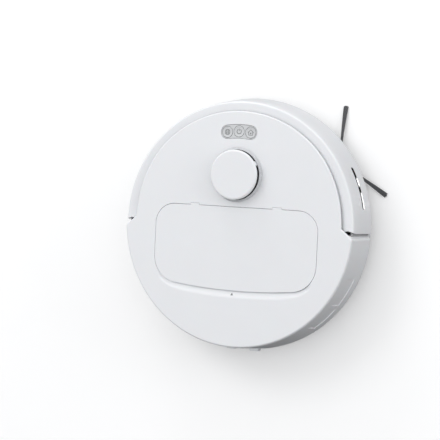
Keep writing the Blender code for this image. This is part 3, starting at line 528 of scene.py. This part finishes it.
# ---- upper shell --------------------------------------------------------------------------
def cover_outline():
    """Plan of the raised top: rear arc, round shoulders, and the front edge inside the bumper.
    Each point is (x, y, share) with share 1 where the side wall goes down to the skirt."""
    end_y = NOTCH_OUT[1] + NOTCH_ROUND
    start = math.degrees(math.asin(end_y / RIM_R))
    ends = [e for pair in VENT_DEG for e in pair] + [180.0 - e for pair in VENT_DEG for e in pair]
    near = math.degrees(VENT_EDGE / BODY_R)
    turns = levels(start, 180 - start, 300, ends, near)
    rear = [arc((0, 0), RIM_R, degrees, degrees, 1)[0] for degrees in turns]
    out, into = Vector(NOTCH_OUT), Vector(NOTCH_IN)
    along = (into - out).normalized()
    first, last = Vector((math.sqrt(RIM_R ** 2 - end_y ** 2), end_y)), out + along * NOTCH_ROUND
    shares = [i / 6 for i in range(1, 7)]
    right = [(1 - t) ** 2 * first + 2 * t * (1 - t) * out + t * t * last for t in shares]
    right += [last.lerp(into, i / 8) for i in range(1, 9)]
    right = [(p.x, p.y) for p in right]
    left = [(-x, y) for x, y in right]
    turn_in = math.degrees(math.atan2(-NOTCH_IN[1], NOTCH_IN[0]))
    front = []
    for i in range(1, 240):
        degrees = 180.0 + turn_in + (180.0 - 2 * turn_in) * i / 240
        side = min(degrees - 180.0, 360.0 - degrees) - turn_in
        radius = math.hypot(*NOTCH_IN) + (COVER_R - math.hypot(*NOTCH_IN)) * smooth(side / 45.0)
        front.append(polar(radius, math.radians(degrees), 0.0)[:2])
    points = [(x, y, float(abs(x) > NOTCH_UNDER_X or y > NOTCH_OUT[1])) for x, y in rear + left]
    points += [(x, y, 0.0) for x, y in front]
    return points + [(x, y, float(abs(x) > NOTCH_UNDER_X)) for x, y in reversed(right)]


def recess_depth(degrees, z):
    """Depth of the moulded recesses in the rear side wall."""
    depth = 0.0
    for start, end in VENT_DEG:
        for a, b in ((start, end), (180.0 - end, 180.0 - start)):
            across = min(degrees - a, b - degrees) * math.pi / 180 * BODY_R
            up = min(z - VENT_Z[0], VENT_Z[1] - z)
            inside = min(across, up)
            depth = max(depth, VENT_DEPTH * smooth((inside + VENT_EDGE) / (2 * VENT_EDGE)))
    return depth


def cover_wall(outline):
    """Rim and walls under the outline, returned as rings from the top down."""
    rings = []
    steps = 7
    for i in range(steps + 1):
        angle = math.pi / 2 * i / steps
        ring = []
        for (x, y, share), (nx, ny) in zip(outline, outline_normals(outline)):
            radius = LIP_ROLL + (RIM_ROLL - LIP_ROLL) * share
            inset = radius * (math.sin(angle) - 1.0)
            ring.append((x + nx * inset, y + ny * inset, TOP_Z - radius * (1.0 - math.cos(angle))))
        rings.append(ring)
    for z in levels(TOP_Z - 0.0027, SKIRT_Z + 0.0009, 30, VENT_Z, VENT_EDGE):
        ring = []
        for x, y, share in outline:
            if share:
                size = math.hypot(x, y)
                grow = wall_radius(max(z, WIDEST_Z)) - RIM_R
                if z < WIDEST_Z:
                    grow -= 0.4 * (WIDEST_Z - z)
                depth = recess_depth(math.degrees(math.atan2(y, x)) % 360, z)
                grow -= depth
                at_end = y < NOTCH_OUT[1] + NOTCH_ROUND - 0.0001
                if at_end:
                    grow *= smooth((abs(x) - NOTCH_IN[0]) / (NOTCH_OUT[0] - NOTCH_IN[0] - 0.001))
                ring.append((x * (1 + grow / size), y * (1 + (0 if at_end else grow / size)), z))
            else:
                ring.append((x, y, max(z, LIP_Z)))
        rings.append(ring)
    return rings


def outline_normals(outline):
    flat = [(p[0], p[1]) for p in outline]
    return [(b[0] - a[0], b[1] - a[1]) for a, b in zip(flat, grown(flat, 1.0))]


def make_cover():
    bm = bmesh.new()
    outline = cover_outline()
    rings = [add_ring(bm, ring) for ring in cover_wall(outline)]
    skin(bm, rings)
    inner = []
    for x, y, share in outline:
        size = math.hypot(x, y)
        inward = 1 - SHELL_WALL / size
        inner.append((x * inward, y * inward, SKIRT_Z if share else LIP_Z))
    foot = add_ring(bm, inner)
    bridge(bm, rings[-1], foot)

    lid = grown(lid_outline(), LID_SEAM)
    for x0, x1 in ((-TAB_X[1], -TAB_X[0]), TAB_X):
        a, b, front_y = x0 - TAB_GAP, x1 + TAB_GAP, LID_FRONT_Y - LID_SEAM
        lid += [(a, front_y), (a, TAB_POCKET_Y), (b, TAB_POCKET_Y), (b, front_y)]
    widths = [groove_width(x, y) for x, y in lid]
    rim = grown(lid, [w + GROOVE_EDGE for w in widths])
    opening = []
    steps = 9
    for i in range(steps + 1):
        t = i / steps
        ring = []
        for (ox, oy), (ix, iy), w in zip(rim, lid, widths):
            drop = groove_drop(t, smooth(w / 0.008))
            ring.append((ox + (ix - ox) * t, oy + (iy - oy) * t, TOP_Z - drop))
        opening.append(add_ring(bm, ring))
    opening.append(add_ring(bm, [(x, y, DECK_Z) for x, y in lid]))
    skin(bm, opening)

    seat = []
    for beyond, drop in ((0.0052, 0.0), (0.0040, 0.0), (0.0030, 0.0002), (-0.0005, 0.0004)):
        ring = circle(TURRET.xy, CAP_R + beyond, 120)
        seat.append(add_ring(bm, [(x, y, TOP_Z - drop) for x, y in ring]))
    skin(bm, seat)

    strip = strip_outline()
    lip = []
    for i in range(5):
        angle = math.pi / 2 * i / 4
        z = TOP_Z - 0.0004 * (1.0 - math.cos(angle))
        points = grown(strip, 0.0003 + 0.0004 * (1.0 - math.sin(angle)))
        lip.append(add_ring(bm, [(x, y, z) for x, y in points]))
    lip.append(add_ring(bm, [(x, y, TOP_Z - 0.0030) for x, y in grown(strip, 0.0003)]))
    skin(bm, lip)
    fill(bm, [rings[0], opening[0], seat[0], lip[0]])

    holes = []
    for node, radius in (("dustbin_cover", 0.003), ("power_switch", 0.001)):
        loop = box_outline(node, (0, 1), DECK_GAP, radius)
        upper = add_ring(bm, [(x, y, DECK_Z) for x, y in loop])
        lower = add_ring(bm, [(x, y, DECK_Z - 0.002) for x, y in loop])
        bridge(bm, upper, lower)
        holes.append(upper)
    fill(bm, [opening[-1]] + holes)
    new_piece("cover_shell", bm, "chassis", MAT["shell"], "top_cover")

    bm = bmesh.new()
    rim_y = LID_REAR_Y + LID_SEAM + groove_width(0.0, LID_REAR_Y) + GROOVE_EDGE
    upper = []
    for x, y in MARK_POINTS:
        share = (rim_y - y) / (rim_y - LID_REAR_Y - LID_SEAM)
        upper.append(bm.verts.new((x, y, TOP_Z - groove_drop(share, 1.0) + 0.00012)))
    lower = [bm.verts.new(v.co - Vector((0, 0, 0.0006))) for v in upper]
    skin(bm, [upper, lower], ends=True)
    new_piece("groove_mark", bm, "chassis", MAT["mark_and_slot_shade"], None)


def make_lid():
    bm = bmesh.new()
    moulded(bm, lid_outline(), [], TOP_Z, TOP_Z - LID_THICK, edge=0.0005, steps=5)
    panel = new_piece("lid_panel", bm, "lid", MAT["shell"], None)
    bm = bmesh.new()
    knuckle = TOP_Z - HINGE_Z
    profile = arc((HINGE_Y, HINGE_Z), knuckle, 90, 270, 14)
    profile += [(LID_FRONT_Y + 0.0006, HINGE_Z - knuckle), (LID_FRONT_Y + 0.0006, TOP_Z - 0.0001)]
    for sign in (-1, 1):
        skin(bm, [add_ring(bm, [(sign * x, y, z) for y, z in profile]) for x in TAB_X], ends=True)
    new_piece("lid_hinge_tabs", bm, "lid", MAT["shell"], None)
    bm = bmesh.new()
    underside = TOP_Z - LID_THICK
    for x in (-0.08, -0.04, 0.0, 0.04, 0.08):
        rib = rounded_box((x - 0.0006, -0.010), (x + 0.0006, 0.070), 0.0005, 3)
        moulded(bm, rib, [], underside - 0.0011, underside + 0.0001, edge=0.0002, steps=2)
    new_piece("lid_ribs", bm, "lid", MAT["shell"], None)
    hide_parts("bin_lid")


# ---- bumper -------------------------------------------------------------------------------
def slot_depth(degrees, z):
    """1 inside the wall sensor's slot, 0 outside, with round ends."""
    middle = (SLOT_Z[0] + SLOT_Z[1]) / 2
    half = (SLOT_Z[1] - SLOT_Z[0]) / 2
    along = max(SLOT_DEG[0] - degrees, degrees - SLOT_DEG[1]) * math.pi / 180 * BODY_R + half
    away = math.hypot(max(0.0, along), z - middle) - half
    return smooth((SLOT_EDGE - away) / (2 * SLOT_EDGE))


def band_end(radius):
    """How far back the bumper reaches: a slant, parallel to the upper shell's end face."""
    for (r0, y0), (r1, y1) in zip(BAND_END, BAND_END[1:]):
        if radius <= r1:
            return y0 + (y1 - y0) * (radius - r0) / (r1 - r0)
    return BAND_END[-1][1]


def window_ring(bm, angle, middle, half, rows, outward, back):
    """An upright section of a window in the side wall; outward(share) is how far its face stands out."""
    section = []
    for i in range(rows + 1):
        z = middle - half + 2 * half * i / rows
        section.append((wall_radius(z) + outward(i / rows), z))
    section += [(wall_radius(z) - back, z) for z in (middle + half, middle - half)]
    return add_ring(bm, [polar(r, angle, z) for r, z in section])


def make_bumper():
    bm = bmesh.new()
    outer_top = wall_radius(BAND_Z) - 0.0005
    flat_to = outer_top - BAND_ROUND
    section = [(BAND_IN_R, BAND_Z - BAND_DISH - 0.0015), (BAND_IN_R, BAND_Z - BAND_DISH)]
    for i in range(1, 7):
        drop = BAND_DISH * (1 - i / 6) ** 1.5
        section.append((BAND_IN_R + (flat_to - BAND_IN_R) * i / 6, BAND_Z - drop))
    for i in range(1, 9):
        angle = math.pi / 2 * i / 8
        drop = BAND_ROUND * (1 - math.cos(angle))
        section.append((flat_to + BAND_ROUND * math.sin(angle), BAND_Z - drop))
    top_wall = section[-1][1]
    wall_low = 0.0165
    for z in levels(top_wall, wall_low, 60, SLOT_Z, SLOT_EDGE)[1:]:
        section.append((wall_radius(z) - 0.0004 * smooth((z - 0.055) / 0.01), z))
    section += [(BODY_R - 0.0001, 0.0160), (BODY_R - 0.0003, 0.0148), (BODY_R - 0.0012, 0.0140),
                (BODY_R - 0.0034, 0.0140), (flat_to, 0.0600),
                (BAND_IN_R + 0.008, BAND_Z - BAND_DISH - 0.0015)]
    steps = 520
    rings = []
    for s in range(steps + 1):
        ring = []
        for radius, z in section:
            over = math.degrees(math.asin(band_end(radius) / radius))
            degrees = 180.0 - over + (180.0 + 2 * over) * s / steps
            angle = math.radians(degrees)
            if radius > flat_to + 0.001 and 0.030 < z < 0.042:
                radius -= 0.0018 * slot_depth(degrees, z)
            ring.append(polar(radius, angle, z))
        rings.append(add_ring(bm, ring))
    skin(bm, rings, ends=True)
    shell = new_piece("bumper_shell", bm, "bumper", MAT["shell"], "bumper")
    soften(shell, "end_edges", 0.0005, 70.0)
    shell.modifiers.move(1, 0)

    def lens_face(share):
        return -0.00025 - 0.0008 * max(0.0, (12 * share - 7) / 5) ** 1.5

    bm = bmesh.new()
    rings = []
    low_z, high_z = SLOT_Z[0] + 0.0002, SLOT_Z[1] - 0.0002
    for i in range(81):
        angle = math.radians(SLOT_DEG[0] + (SLOT_DEG[1] - SLOT_DEG[0]) * i / 80)
        half = (high_z - low_z) / 2 * min(1.0, 0.35 + min(i, 80 - i) / 5)
        rings.append(window_ring(bm, angle, (low_z + high_z) / 2, half, 12, lens_face, 0.0020))
    skin(bm, rings, ends=True)
    new_piece("wall_window", bm, "bumper", MAT["lens"], "wall_sensor_window")


# ---- buttons ------------------------------------------------------------------------------
def stroke(bm, points, width, z, closed=False):
    """A thin raised line along points."""
    count = len(points)
    left, right = [], []
    for i, (x, y) in enumerate(points):
        before = points[i - 1] if (i or closed) else points[0]
        after = points[(i + 1) % count] if (i < count - 1 or closed) else points[-1]
        tx, ty = after[0] - before[0], after[1] - before[1]
        size = math.hypot(tx, ty) or 1.0
        nx, ny = -ty / size * width / 2, tx / size * width / 2
        left.append(bm.verts.new((x + nx, y + ny, z)))
        right.append(bm.verts.new((x - nx, y - ny, z)))
    for i in range(count if closed else count - 1):
        j = (i + 1) % count
        bm.faces.new((left[i], left[j], right[j], right[i]))


def icon_lines(kind, centre):
    """Generic symbols: a square with four dots, a power sign and a house."""
    cx, cy = centre
    if kind == "spot":
        lines = [(rounded_box((cx - 0.0031, cy - 0.0031), (cx + 0.0031, cy + 0.0031), 0.0020), True)]
        for dx, dy in ((0.0012, 0.0012), (-0.0012, 0.0012), (0.0012, -0.0012), (-0.0012, -0.0012)):
            lines.append((circle((cx + dx, cy + dy), 0.0005, 8), True))
        return lines
    if kind == "power":
        bar = [(cx, cy - 0.0008), (cx, cy - 0.0038)]
        return [(arc((cx, cy), 0.0031, -62, 242, 30), False), (bar, False)]
    roof = [(cx - 0.0040, cy - 0.0002), (cx, cy - 0.0038), (cx + 0.0040, cy - 0.0002)]
    walls = [(cx - 0.0029, cy - 0.0006), (cx - 0.0029, cy + 0.0033), (cx + 0.0029, cy + 0.0033),
             (cx + 0.0029, cy - 0.0006)]
    return [(roof, False), (walls, False), (circle((cx, cy + 0.0010), 0.0006, 10), True)]


def make_buttons():
    strip_top = high("button_panel").z
    centres = {}
    for kind in ("spot", "power", "home"):
        lowest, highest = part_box("button_" + kind)
        centres[kind] = ((lowest.x + highest.x) / 2, (lowest.y + highest.y) / 2)
    bm = bmesh.new()
    outline = strip_outline(-0.0001)
    holes = [circle(c, 0.0078, 56) for c in centres.values()]
    moulded(bm, outline, holes, strip_top, strip_top - 0.0040, edge=0.0004)
    new_piece("button_strip", bm, "chassis", MAT["strip"], "button_panel")
    for kind, centre in centres.items():
        top = high("button_" + kind).z
        bottom = low("button_" + kind).z
        bm = bmesh.new()
        profile = [(0.0050, top - 0.00050), (0.0056, top - 0.00042), (0.0062, top - 0.00006),
                   (0.0067, top), (0.0071, top - 0.00012), (0.0074, top - 0.0006),
                   (0.0074, bottom + 0.0045), (0.0030, bottom + 0.0045), (0.0030, bottom)]
        turned(bm, profile, centre, 72)
        name = kind + "_cap"
        new_piece(name, bm, kind + "_button", MAT["strip"], "button_" + kind, sharp=50.0)
        bm = bmesh.new()
        for points, closed in icon_lines(kind, centre):
            stroke(bm, points, ICON_LINE, top - 0.00042, closed)
        new_piece(kind + "_symbol", bm, kind + "_button", MAT["icon"], None)


# ---- laser turret -------------------------------------------------------------------------
def make_turret():
    rim = TOP_Z + 0.0043
    cap_low = low("lidar_cap").z

    def ribs(angle, radius, z):
        """Fine upright ribs on the skirt."""
        if radius < 0.0342 or z < TOP_Z + 0.0006 or z > rim - 0.0003:
            return 0.0
        return -RIB_DEPTH * (0.5 - 0.5 * math.cos(angle * RIB_COUNT))

    bm = bmesh.new()
    profile = [(0.0303, 0.0585), (0.0303, TOP_Z), (0.0335, TOP_Z + 0.0010),
               (0.0335, rim - 0.0002), (0.0337, rim)]
    profile += [(0.0341 + 0.0024 * i / 7, rim - 0.0041 * i / 7) for i in range(8)]
    profile += [(0.0364, TOP_Z + 0.0001), (0.0320, TOP_Z + 0.0001), (0.0320, 0.0560),
                (0.0050, 0.0560), (0.0050, 0.0585)]
    turned(bm, profile, TURRET.xy, RIB_COUNT * 8, closed=True, wobble=ribs)

    def within(at, radius):
        return (at.xy - TURRET.xy).length < radius

    # The skirt's inner and downward faces take the dark grey: partly their own colour, partly painted
    # shade in the slot under the cap.
    new_piece("turret_skirt", bm, "chassis", MAT["skirt"], "lidar_base", sharp=60.0,
              inside=(MAT["mark_and_slot_shade"], lambda at, out: within(at, 0.03365) or out.z < -0.9))

    bm = bmesh.new()
    top = CAP_TOP_Z
    profile = [(0.0030, 0.0), (0.0019, 0.0002), (0.0010, 0.0007), (0.0003, 0.0016), (0.0001, 0.0024),
               (0.0003, 0.0040), (0.0006, 0.0043), (0.0028, 0.0043), (0.0028, 0.0020)]
    turned(bm, [(CAP_R - inset, top - drop) for inset, drop in profile], TURRET.xy, 160)

    def hidden(at, out):
        return out.z < -0.5 or within(at, CAP_R - 0.0027) and at.z < top - 0.0005

    # The cap's underside and inner faces take the same dark grey: partly their own colour, partly painted
    # shade in the slot.
    new_piece("turret_top", bm, "turret_cap", MAT["shell"], "lidar_cap", sharp=50.0,
              inside=(MAT["mark_and_slot_shade"], hidden))
    bm = bmesh.new()
    outline = rounded_box((0.0302, -0.0030), (0.0332, 0.0030), 0.0006, 3)
    for degrees in PILLAR_DEG:
        placed(bm, turned_about(TURRET, degrees), moulded, outline, [], top - 0.0040, cap_low,
               edge=0.0002, steps=2)
    new_piece("turret_pillars", bm, "turret_cap", MAT["shell"], None)


# ---- side brush ---------------------------------------------------------------------------
def make_side_brush():
    rng = random.Random(7)
    z_top, z_low = -0.0031, low("side_brush_arms").z
    bm = bmesh.new()
    for degrees in SIDE_BRUSH_ANGLES:
        turn = math.radians(degrees)
        for strand in range(BRISTLES_PER_ARM):
            lane = (strand + 0.5) / BRISTLES_PER_ARM * 2 - 1 + rng.uniform(-0.02, 0.02)
            reach = SIDE_BRUSH_REACH - rng.uniform(0.0, 0.0016) - 0.0010 * lane * lane
            lift = rng.uniform(-0.0004, 0.0004)
            rings = []
            for i in range(9):
                t = i / 8
                r = BRISTLE_FROM + (reach - BRISTLE_FROM) * t
                across = lane * (0.0013 + 0.0020 * t ** 1.2) - BRISTLE_SWEEP * t * t
                z = z_top + (z_low + 0.0007 - z_top) * t ** 1.15 + lift * t
                x = r * math.cos(turn) - across * math.sin(turn)
                y = r * math.sin(turn) + across * math.cos(turn)
                ring = []
                for k in range(4):
                    a = math.pi / 2 * k + math.pi / 4
                    aside, up = BRISTLE_HALF * math.cos(a), BRISTLE_HALF * math.sin(a)
                    ring.append((SIDE_BRUSH.x + x - aside * math.sin(turn),
                                 SIDE_BRUSH.y + y + aside * math.cos(turn), z + up))
                rings.append(add_ring(bm, ring))
            skin(bm, rings, ends=True)
    new_piece("side_bristles", bm, "side_brush", MAT["bristle"], "side_brush_arms")

    bm = bmesh.new()
    centre = SIDE_BRUSH.xy
    profile = rounded([(0.0132, -0.0026), (0.0132, -0.0008), (0.0060, -0.0008), (0.0060, -0.0050),
                       (0.0120, -0.0050), (0.0132, -0.0026)], 0.0004, 3)
    turned(bm, profile[:-1], centre, 64, closed=True)
    sleeve = [(0.0085, -0.0030), (0.0240, -0.0021), (0.0255, 0.0), (0.0240, 0.0021), (0.0085, 0.0030)]
    for degrees in SIDE_BRUSH_ANGLES:
        placed(bm, turned_about(centre, degrees), moulded, sleeve, [], -0.0048, -0.0012,
               edge=0.0004, steps=3, foot=0.0003)
    new_piece("side_brush_sleeves", bm, "side_brush", MAT["grey"], None)

    bm = bmesh.new()
    profile = [(0.0032, 0.0080), (0.0032, -0.0007), (0.0058, -0.0007), (0.0058, -0.0048),
               (0.0050, -0.0052), (0.0026, -0.0052), (0.0024, -0.0042)]
    turned(bm, profile, centre, 48)
    new_piece("side_brush_boss", bm, "side_brush", MAT["base"], "side_brush_hub", sharp=45.0)


# ---- rear wall ----------------------------------------------------------------------------
def make_rear_contacts():
    """Two plated pads in white frames, and the infrared window."""
    facing_back = Matrix(((1, 0, 0, 0), (0, 0, 1, 0), (0, 1, 0, 0), (0, 0, 0, 1)))
    for side in ("left", "right"):
        node = "charging_contact_" + side
        lowest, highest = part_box(node)
        rear = highest.y
        outer = box_outline(node, (0, 2), 0.0, 0.0022)
        window = box_outline(node, (0, 2), -0.0018, 0.0012)
        bm = bmesh.new()
        placed(bm, facing_back, moulded, outer, [window], rear - 0.0002, lowest.y, edge=0.0006)
        new_piece("contact_frame_" + side, bm, "chassis", MAT["shell"], None)
        bm = bmesh.new()
        pad = box_outline(node, (0, 2), -0.0020, 0.0010)
        placed(bm, facing_back, moulded, pad, [], rear - 0.0008, lowest.y + 0.0010, edge=0.0007)
        new_piece("contact_pad_" + side, bm, "chassis", MAT["contact"], node)

    lowest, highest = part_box("dock_sensor_window")
    half_turn = (highest.x - lowest.x) / 2 / BODY_R

    def dome(share):
        return 0.00025 - 0.0002 * abs(2 * share - 1.0) ** 3

    bm = bmesh.new()
    rings = []
    for i in range(17):
        across = 2.0 * i / 16 - 1.0
        angle = math.pi / 2 + half_turn * across
        half = (highest.z - lowest.z) / 2 * (1.0 - 0.35 * abs(across) ** 8)
        middle = (highest.z + lowest.z) / 2
        rings.append(window_ring(bm, angle, middle, half, 6, dome, 0.0012))
    skin(bm, rings, ends=True)
    new_piece("dock_window", bm, "chassis", MAT["lens"], "dock_sensor_window")


# ---- underside ----------------------------------------------------------------------------
def make_tyres():
    """Rubber tyres with a V-shaped tread."""
    for side in ("left", "right"):
        lowest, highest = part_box("tyre_" + side)
        middle = (lowest + highest) / 2
        outer, half = (highest.z - lowest.z) / 2, (highest.x - lowest.x) / 2

        def tread(angle, radius, across, outer=outer, half=half):
            if radius < outer - 0.0012:
                return 0.0
            slant = abs(across) / half * 0.9
            return -0.0013 * smooth((math.cos(angle * TREAD_COUNT + slant * 2 * math.pi) - 0.45) / 0.25)

        profile = [(0.0293, half), (0.0325, half), (outer - 0.0016, half - 0.0004),
                   (outer - 0.0004, half - 0.0012)]
        profile += [(outer, half - 0.0022 - (2 * half - 0.0044) * i / 16) for i in range(17)]
        profile += [(r, -x) for r, x in reversed(profile[:4])]
        bm = bmesh.new()
        turned(bm, profile, steps=TREAD_COUNT * 12, closed=True, wobble=tread, across=middle)
        new_piece("tread_" + side, bm, "wheel_" + side, MAT["tyre"], "tyre_" + side, sharp=45.0)


def make_roller():
    """The main brush: a core, twisted rubber fins and rows of bristles between them."""
    lowest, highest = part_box("main_brush_roller")
    middle = (lowest + highest) / 2
    reach, half = (highest.z - lowest.z) / 2 - 0.0001, (highest.x - lowest.x) / 2 - 0.0025
    bm = bmesh.new()
    ends = [(0.0040, half + 0.0024), (0.0040, half), (0.0118, half), (0.0121, half - 0.0030),
            (reach - 0.0060, half - 0.0031)]
    profile = ends + [(r, -x) for r, x in reversed(ends)]
    turned(bm, profile, steps=64, across=middle)
    new_piece("roller_core", bm, "main_brush", MAT["grey"], "main_brush_roller")

    def line(phase, share):
        return phase + ROLLER_TWIST * abs(2.0 * share - 1.0)

    flank = [(0.0112, 0.0009), (0.0135, 0.00055), (reach - 0.0003, 0.00045), (reach, 0.00025)]
    flank += [(radius, -thick) for radius, thick in reversed(flank)]
    bm = bmesh.new()
    for fin in range(ROLLER_FINS):
        rings = []
        for i in range(61):
            share = i / 60
            x = middle.x + (half - 0.0045) * (2 * share - 1)
            angle = line(2 * math.pi * fin / ROLLER_FINS, share)
            ring = []
            for radius, thick in flank:
                ring.append((x, middle.y + radius * math.cos(angle) - thick * math.sin(angle),
                             middle.z + radius * math.sin(angle) + thick * math.cos(angle)))
            rings.append(add_ring(bm, ring))
        skin(bm, rings, ends=True)
    new_piece("roller_fins", bm, "main_brush", MAT["fin"], None, sharp=50.0)

    rng = random.Random(11)
    bm = bmesh.new()
    for row in range(ROLLER_FINS):
        for tuft in range(TUFT_COUNT):
            share = (tuft + 0.5) / TUFT_COUNT
            x = middle.x + (half - 0.0050) * (2 * share - 1)
            angle = line(2 * math.pi * (row + 0.5) / ROLLER_FINS, share)
            for _ in range(4):
                lean, drift = rng.uniform(-0.05, 0.05), rng.uniform(-0.0006, 0.0006)
                points = []
                for radius, size in ((0.0115, 0.00022), (reach - 0.0004, 0.00012)):
                    a = angle + lean * (radius - 0.0115) / 0.006
                    centre = Vector((x + drift, middle.y + radius * math.cos(a),
                                     middle.z + radius * math.sin(a)))
                    aside = Vector((0, -math.sin(a), math.cos(a)))
                    points.append([bm.verts.new(centre + Vector((size * math.cos(turn), 0, 0)) +
                                                size * math.sin(turn) * aside)
                                   for turn in BRISTLE_TURNS])
                skin(bm, points, ends=True)
    new_piece("roller_bristles", bm, "main_brush", MAT["bristle"], None)


def cross_outline(half, width):
    """A plus sign, counter-clockwise."""
    points, quarter = [], [(half, -width), (half, width), (width, width)]
    for _ in range(4):
        points += quarter
        quarter = [(-y, x) for x, y in quarter]
    return points


def screw_head(bm, radius, height):
    slot = cross_outline(radius * 0.62, radius * 0.13)
    moulded(bm, circle((0.0, 0.0), radius, 28), [slot], -height, 0.0, 0.0003, 3)
    floor = add_ring(bm, [(x, y, -height * 0.35) for x, y in circle((0.0, 0.0), radius * 0.7, 20)])
    bm.faces.new(floor)


def make_screws():
    """Cross-head screws that hold the base and the battery door."""
    places = [arc((0, 0), SCREW_RING_R, degrees, degrees, 1)[0] for degrees in SCREW_DEG]
    door_low, door_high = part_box("battery_door")
    bm = bmesh.new()
    for x, y in places:
        placed(bm, Matrix.Translation((x, y, 0.0)), screw_head, 0.0034, 0.0007)
    new_piece("base_screws", bm, "chassis", MAT["steel"], None)
    bm = bmesh.new()
    for x in (door_low.x + 0.0050, door_high.x - 0.0050):
        placed(bm, Matrix.Translation((x, door_high.y - 0.0050, 0.0)), screw_head, 0.0026, 0.0006)
    new_piece("door_screws", bm, "chassis", MAT["steel"], None)


# ---- camera, light and floor --------------------------------------------------------------
def make_camera():
    data = bpy.data.cameras.new("camera")
    data.lens = CAMERA_LENS
    data.sensor_width = 36.0
    camera = bpy.data.objects.new("camera", data)
    bpy.context.scene.collection.objects.link(camera)
    right = Vector(CAMERA_RIGHT).normalized()
    up = Vector(CAMERA_UP).normalized()
    back = right.cross(up).normalized()
    up = back.cross(right).normalized()
    turn = Matrix((right, up, back)).transposed().to_4x4()
    camera.matrix_world = Matrix.Translation(Vector(CAMERA_AT)) @ turn
    bpy.context.scene.camera = camera


def area_light(name, location, target, size, power):
    data = bpy.data.lights.new(name, "AREA")
    data.shape = "DISK"
    data.size = size
    data.energy = power
    lamp = bpy.data.objects.new(name, data)
    lamp.location = location
    lamp.rotation_euler = (Vector(target) - Vector(location)).to_track_quat("-Z", "Y").to_euler()
    lamp.visible_camera = False
    bpy.context.scene.collection.objects.link(lamp)
    return lamp


def make_sky():
    """Soft light, strongest from above and ahead of the robot, and weak from behind and below."""
    world = bpy.data.worlds.new("studio")
    world.use_nodes = True
    tree = world.node_tree
    link = tree.links.new
    place = tree.nodes.new("ShaderNodeTexCoord")
    towards = node_at(tree, "ShaderNodeVectorMath", operation="DOT_PRODUCT")
    towards.inputs[1].default_value = Vector(SKY_AXIS).normalized()
    link(place.outputs["Generated"], towards.inputs[0])
    share = tree.nodes.new("ShaderNodeMapRange")
    share.inputs["From Min"].default_value = -1.0
    link(towards.outputs["Value"], share.inputs["Value"])
    ramp = tree.nodes.new("ShaderNodeValToRGB").color_ramp
    ramp.elements[0].position, ramp.elements[1].position = SKY_STOPS[0][0], SKY_STOPS[-1][0]
    for position, _ in SKY_STOPS[1:-1]:
        ramp.elements.new(position)
    for stop, (_, level) in zip(ramp.elements, SKY_STOPS):
        stop.color = (level * 0.985, level * 0.99, level, 1.0)
    link(share.outputs["Result"], tree.nodes["Color Ramp"].inputs["Fac"])
    link(tree.nodes["Color Ramp"].outputs["Color"], tree.nodes["Background"].inputs["Color"])
    bpy.context.scene.world = world


def studio_sheet(name, bm, colour, glow, hidden_from):
    """A paper sheet with a little light of its own, unseen by the named kinds of ray."""
    mesh = bpy.data.meshes.new(name)
    bm.to_mesh(mesh)
    bm.free()
    paper = surface(name + "_paper", colour, 0.9, bump=0.0, tint=0.004)
    shader = paper.node_tree.nodes["Principled BSDF"]
    shader.inputs["Emission Color"].default_value = (1.0, 1.0, 1.0, 1.0)
    shader.inputs["Emission Strength"].default_value = glow
    mesh.materials.append(paper)
    sheet = bpy.data.objects.new(name, mesh)
    for ray in hidden_from:
        setattr(sheet, "visible_" + ray, False)
    bpy.context.scene.collection.objects.link(sheet)
    return sheet


def make_backdrop():
    """A white wall round the floor, seen by the camera only, so that it doesn't shade the robot."""
    bm = bmesh.new()
    edge = circle((0.0, 0.0), STUDIO_SIZE * 0.98, 64)
    skin(bm, [add_ring(bm, [(x, y, z) for x, y in edge]) for z in (FLOOR_Z, STUDIO_SIZE)])
    hidden_from = ("diffuse", "glossy", "transmission", "shadow")
    wall = studio_sheet("backdrop", bm, (0.9, 0.9, 0.9), WALL_GLOW, hidden_from)


def make_studio():
    bm = bmesh.new()
    size = STUDIO_SIZE
    corners = ((-size, -size), (size, -size), (size, size), (-size, size))
    bm.faces.new(add_ring(bm, [(x, y, FLOOR_Z - 0.0001) for x, y in corners]))
    floor = studio_sheet("floor", bm, (0.95, 0.95, 0.95), FLOOR_GLOW, ("diffuse", "glossy"))
    make_backdrop()
    make_sky()
    area_light("key", KEY_AT, (0, 0, 0.03), KEY_SIZE, KEY_POWER)
    area_light("side", SIDE_AT, (0, 0, 0.03), SIDE_SIZE, SIDE_POWER)
    area_light("front", FRONT_AT, (0, 0, 0.04), FRONT_SIZE, FRONT_POWER)
    for place, target, width, power in GLINTS:
        area_light("glint", place, target, width, power).visible_diffuse = False
    bpy.context.scene.view_settings.view_transform = "Standard"


make_camera()
make_studio()
paint_cad_nodes()
make_cover()
make_lid()
make_bumper()
make_buttons()
make_turret()
make_side_brush()
make_rear_contacts()
make_tyres()
make_roller()
make_screws()
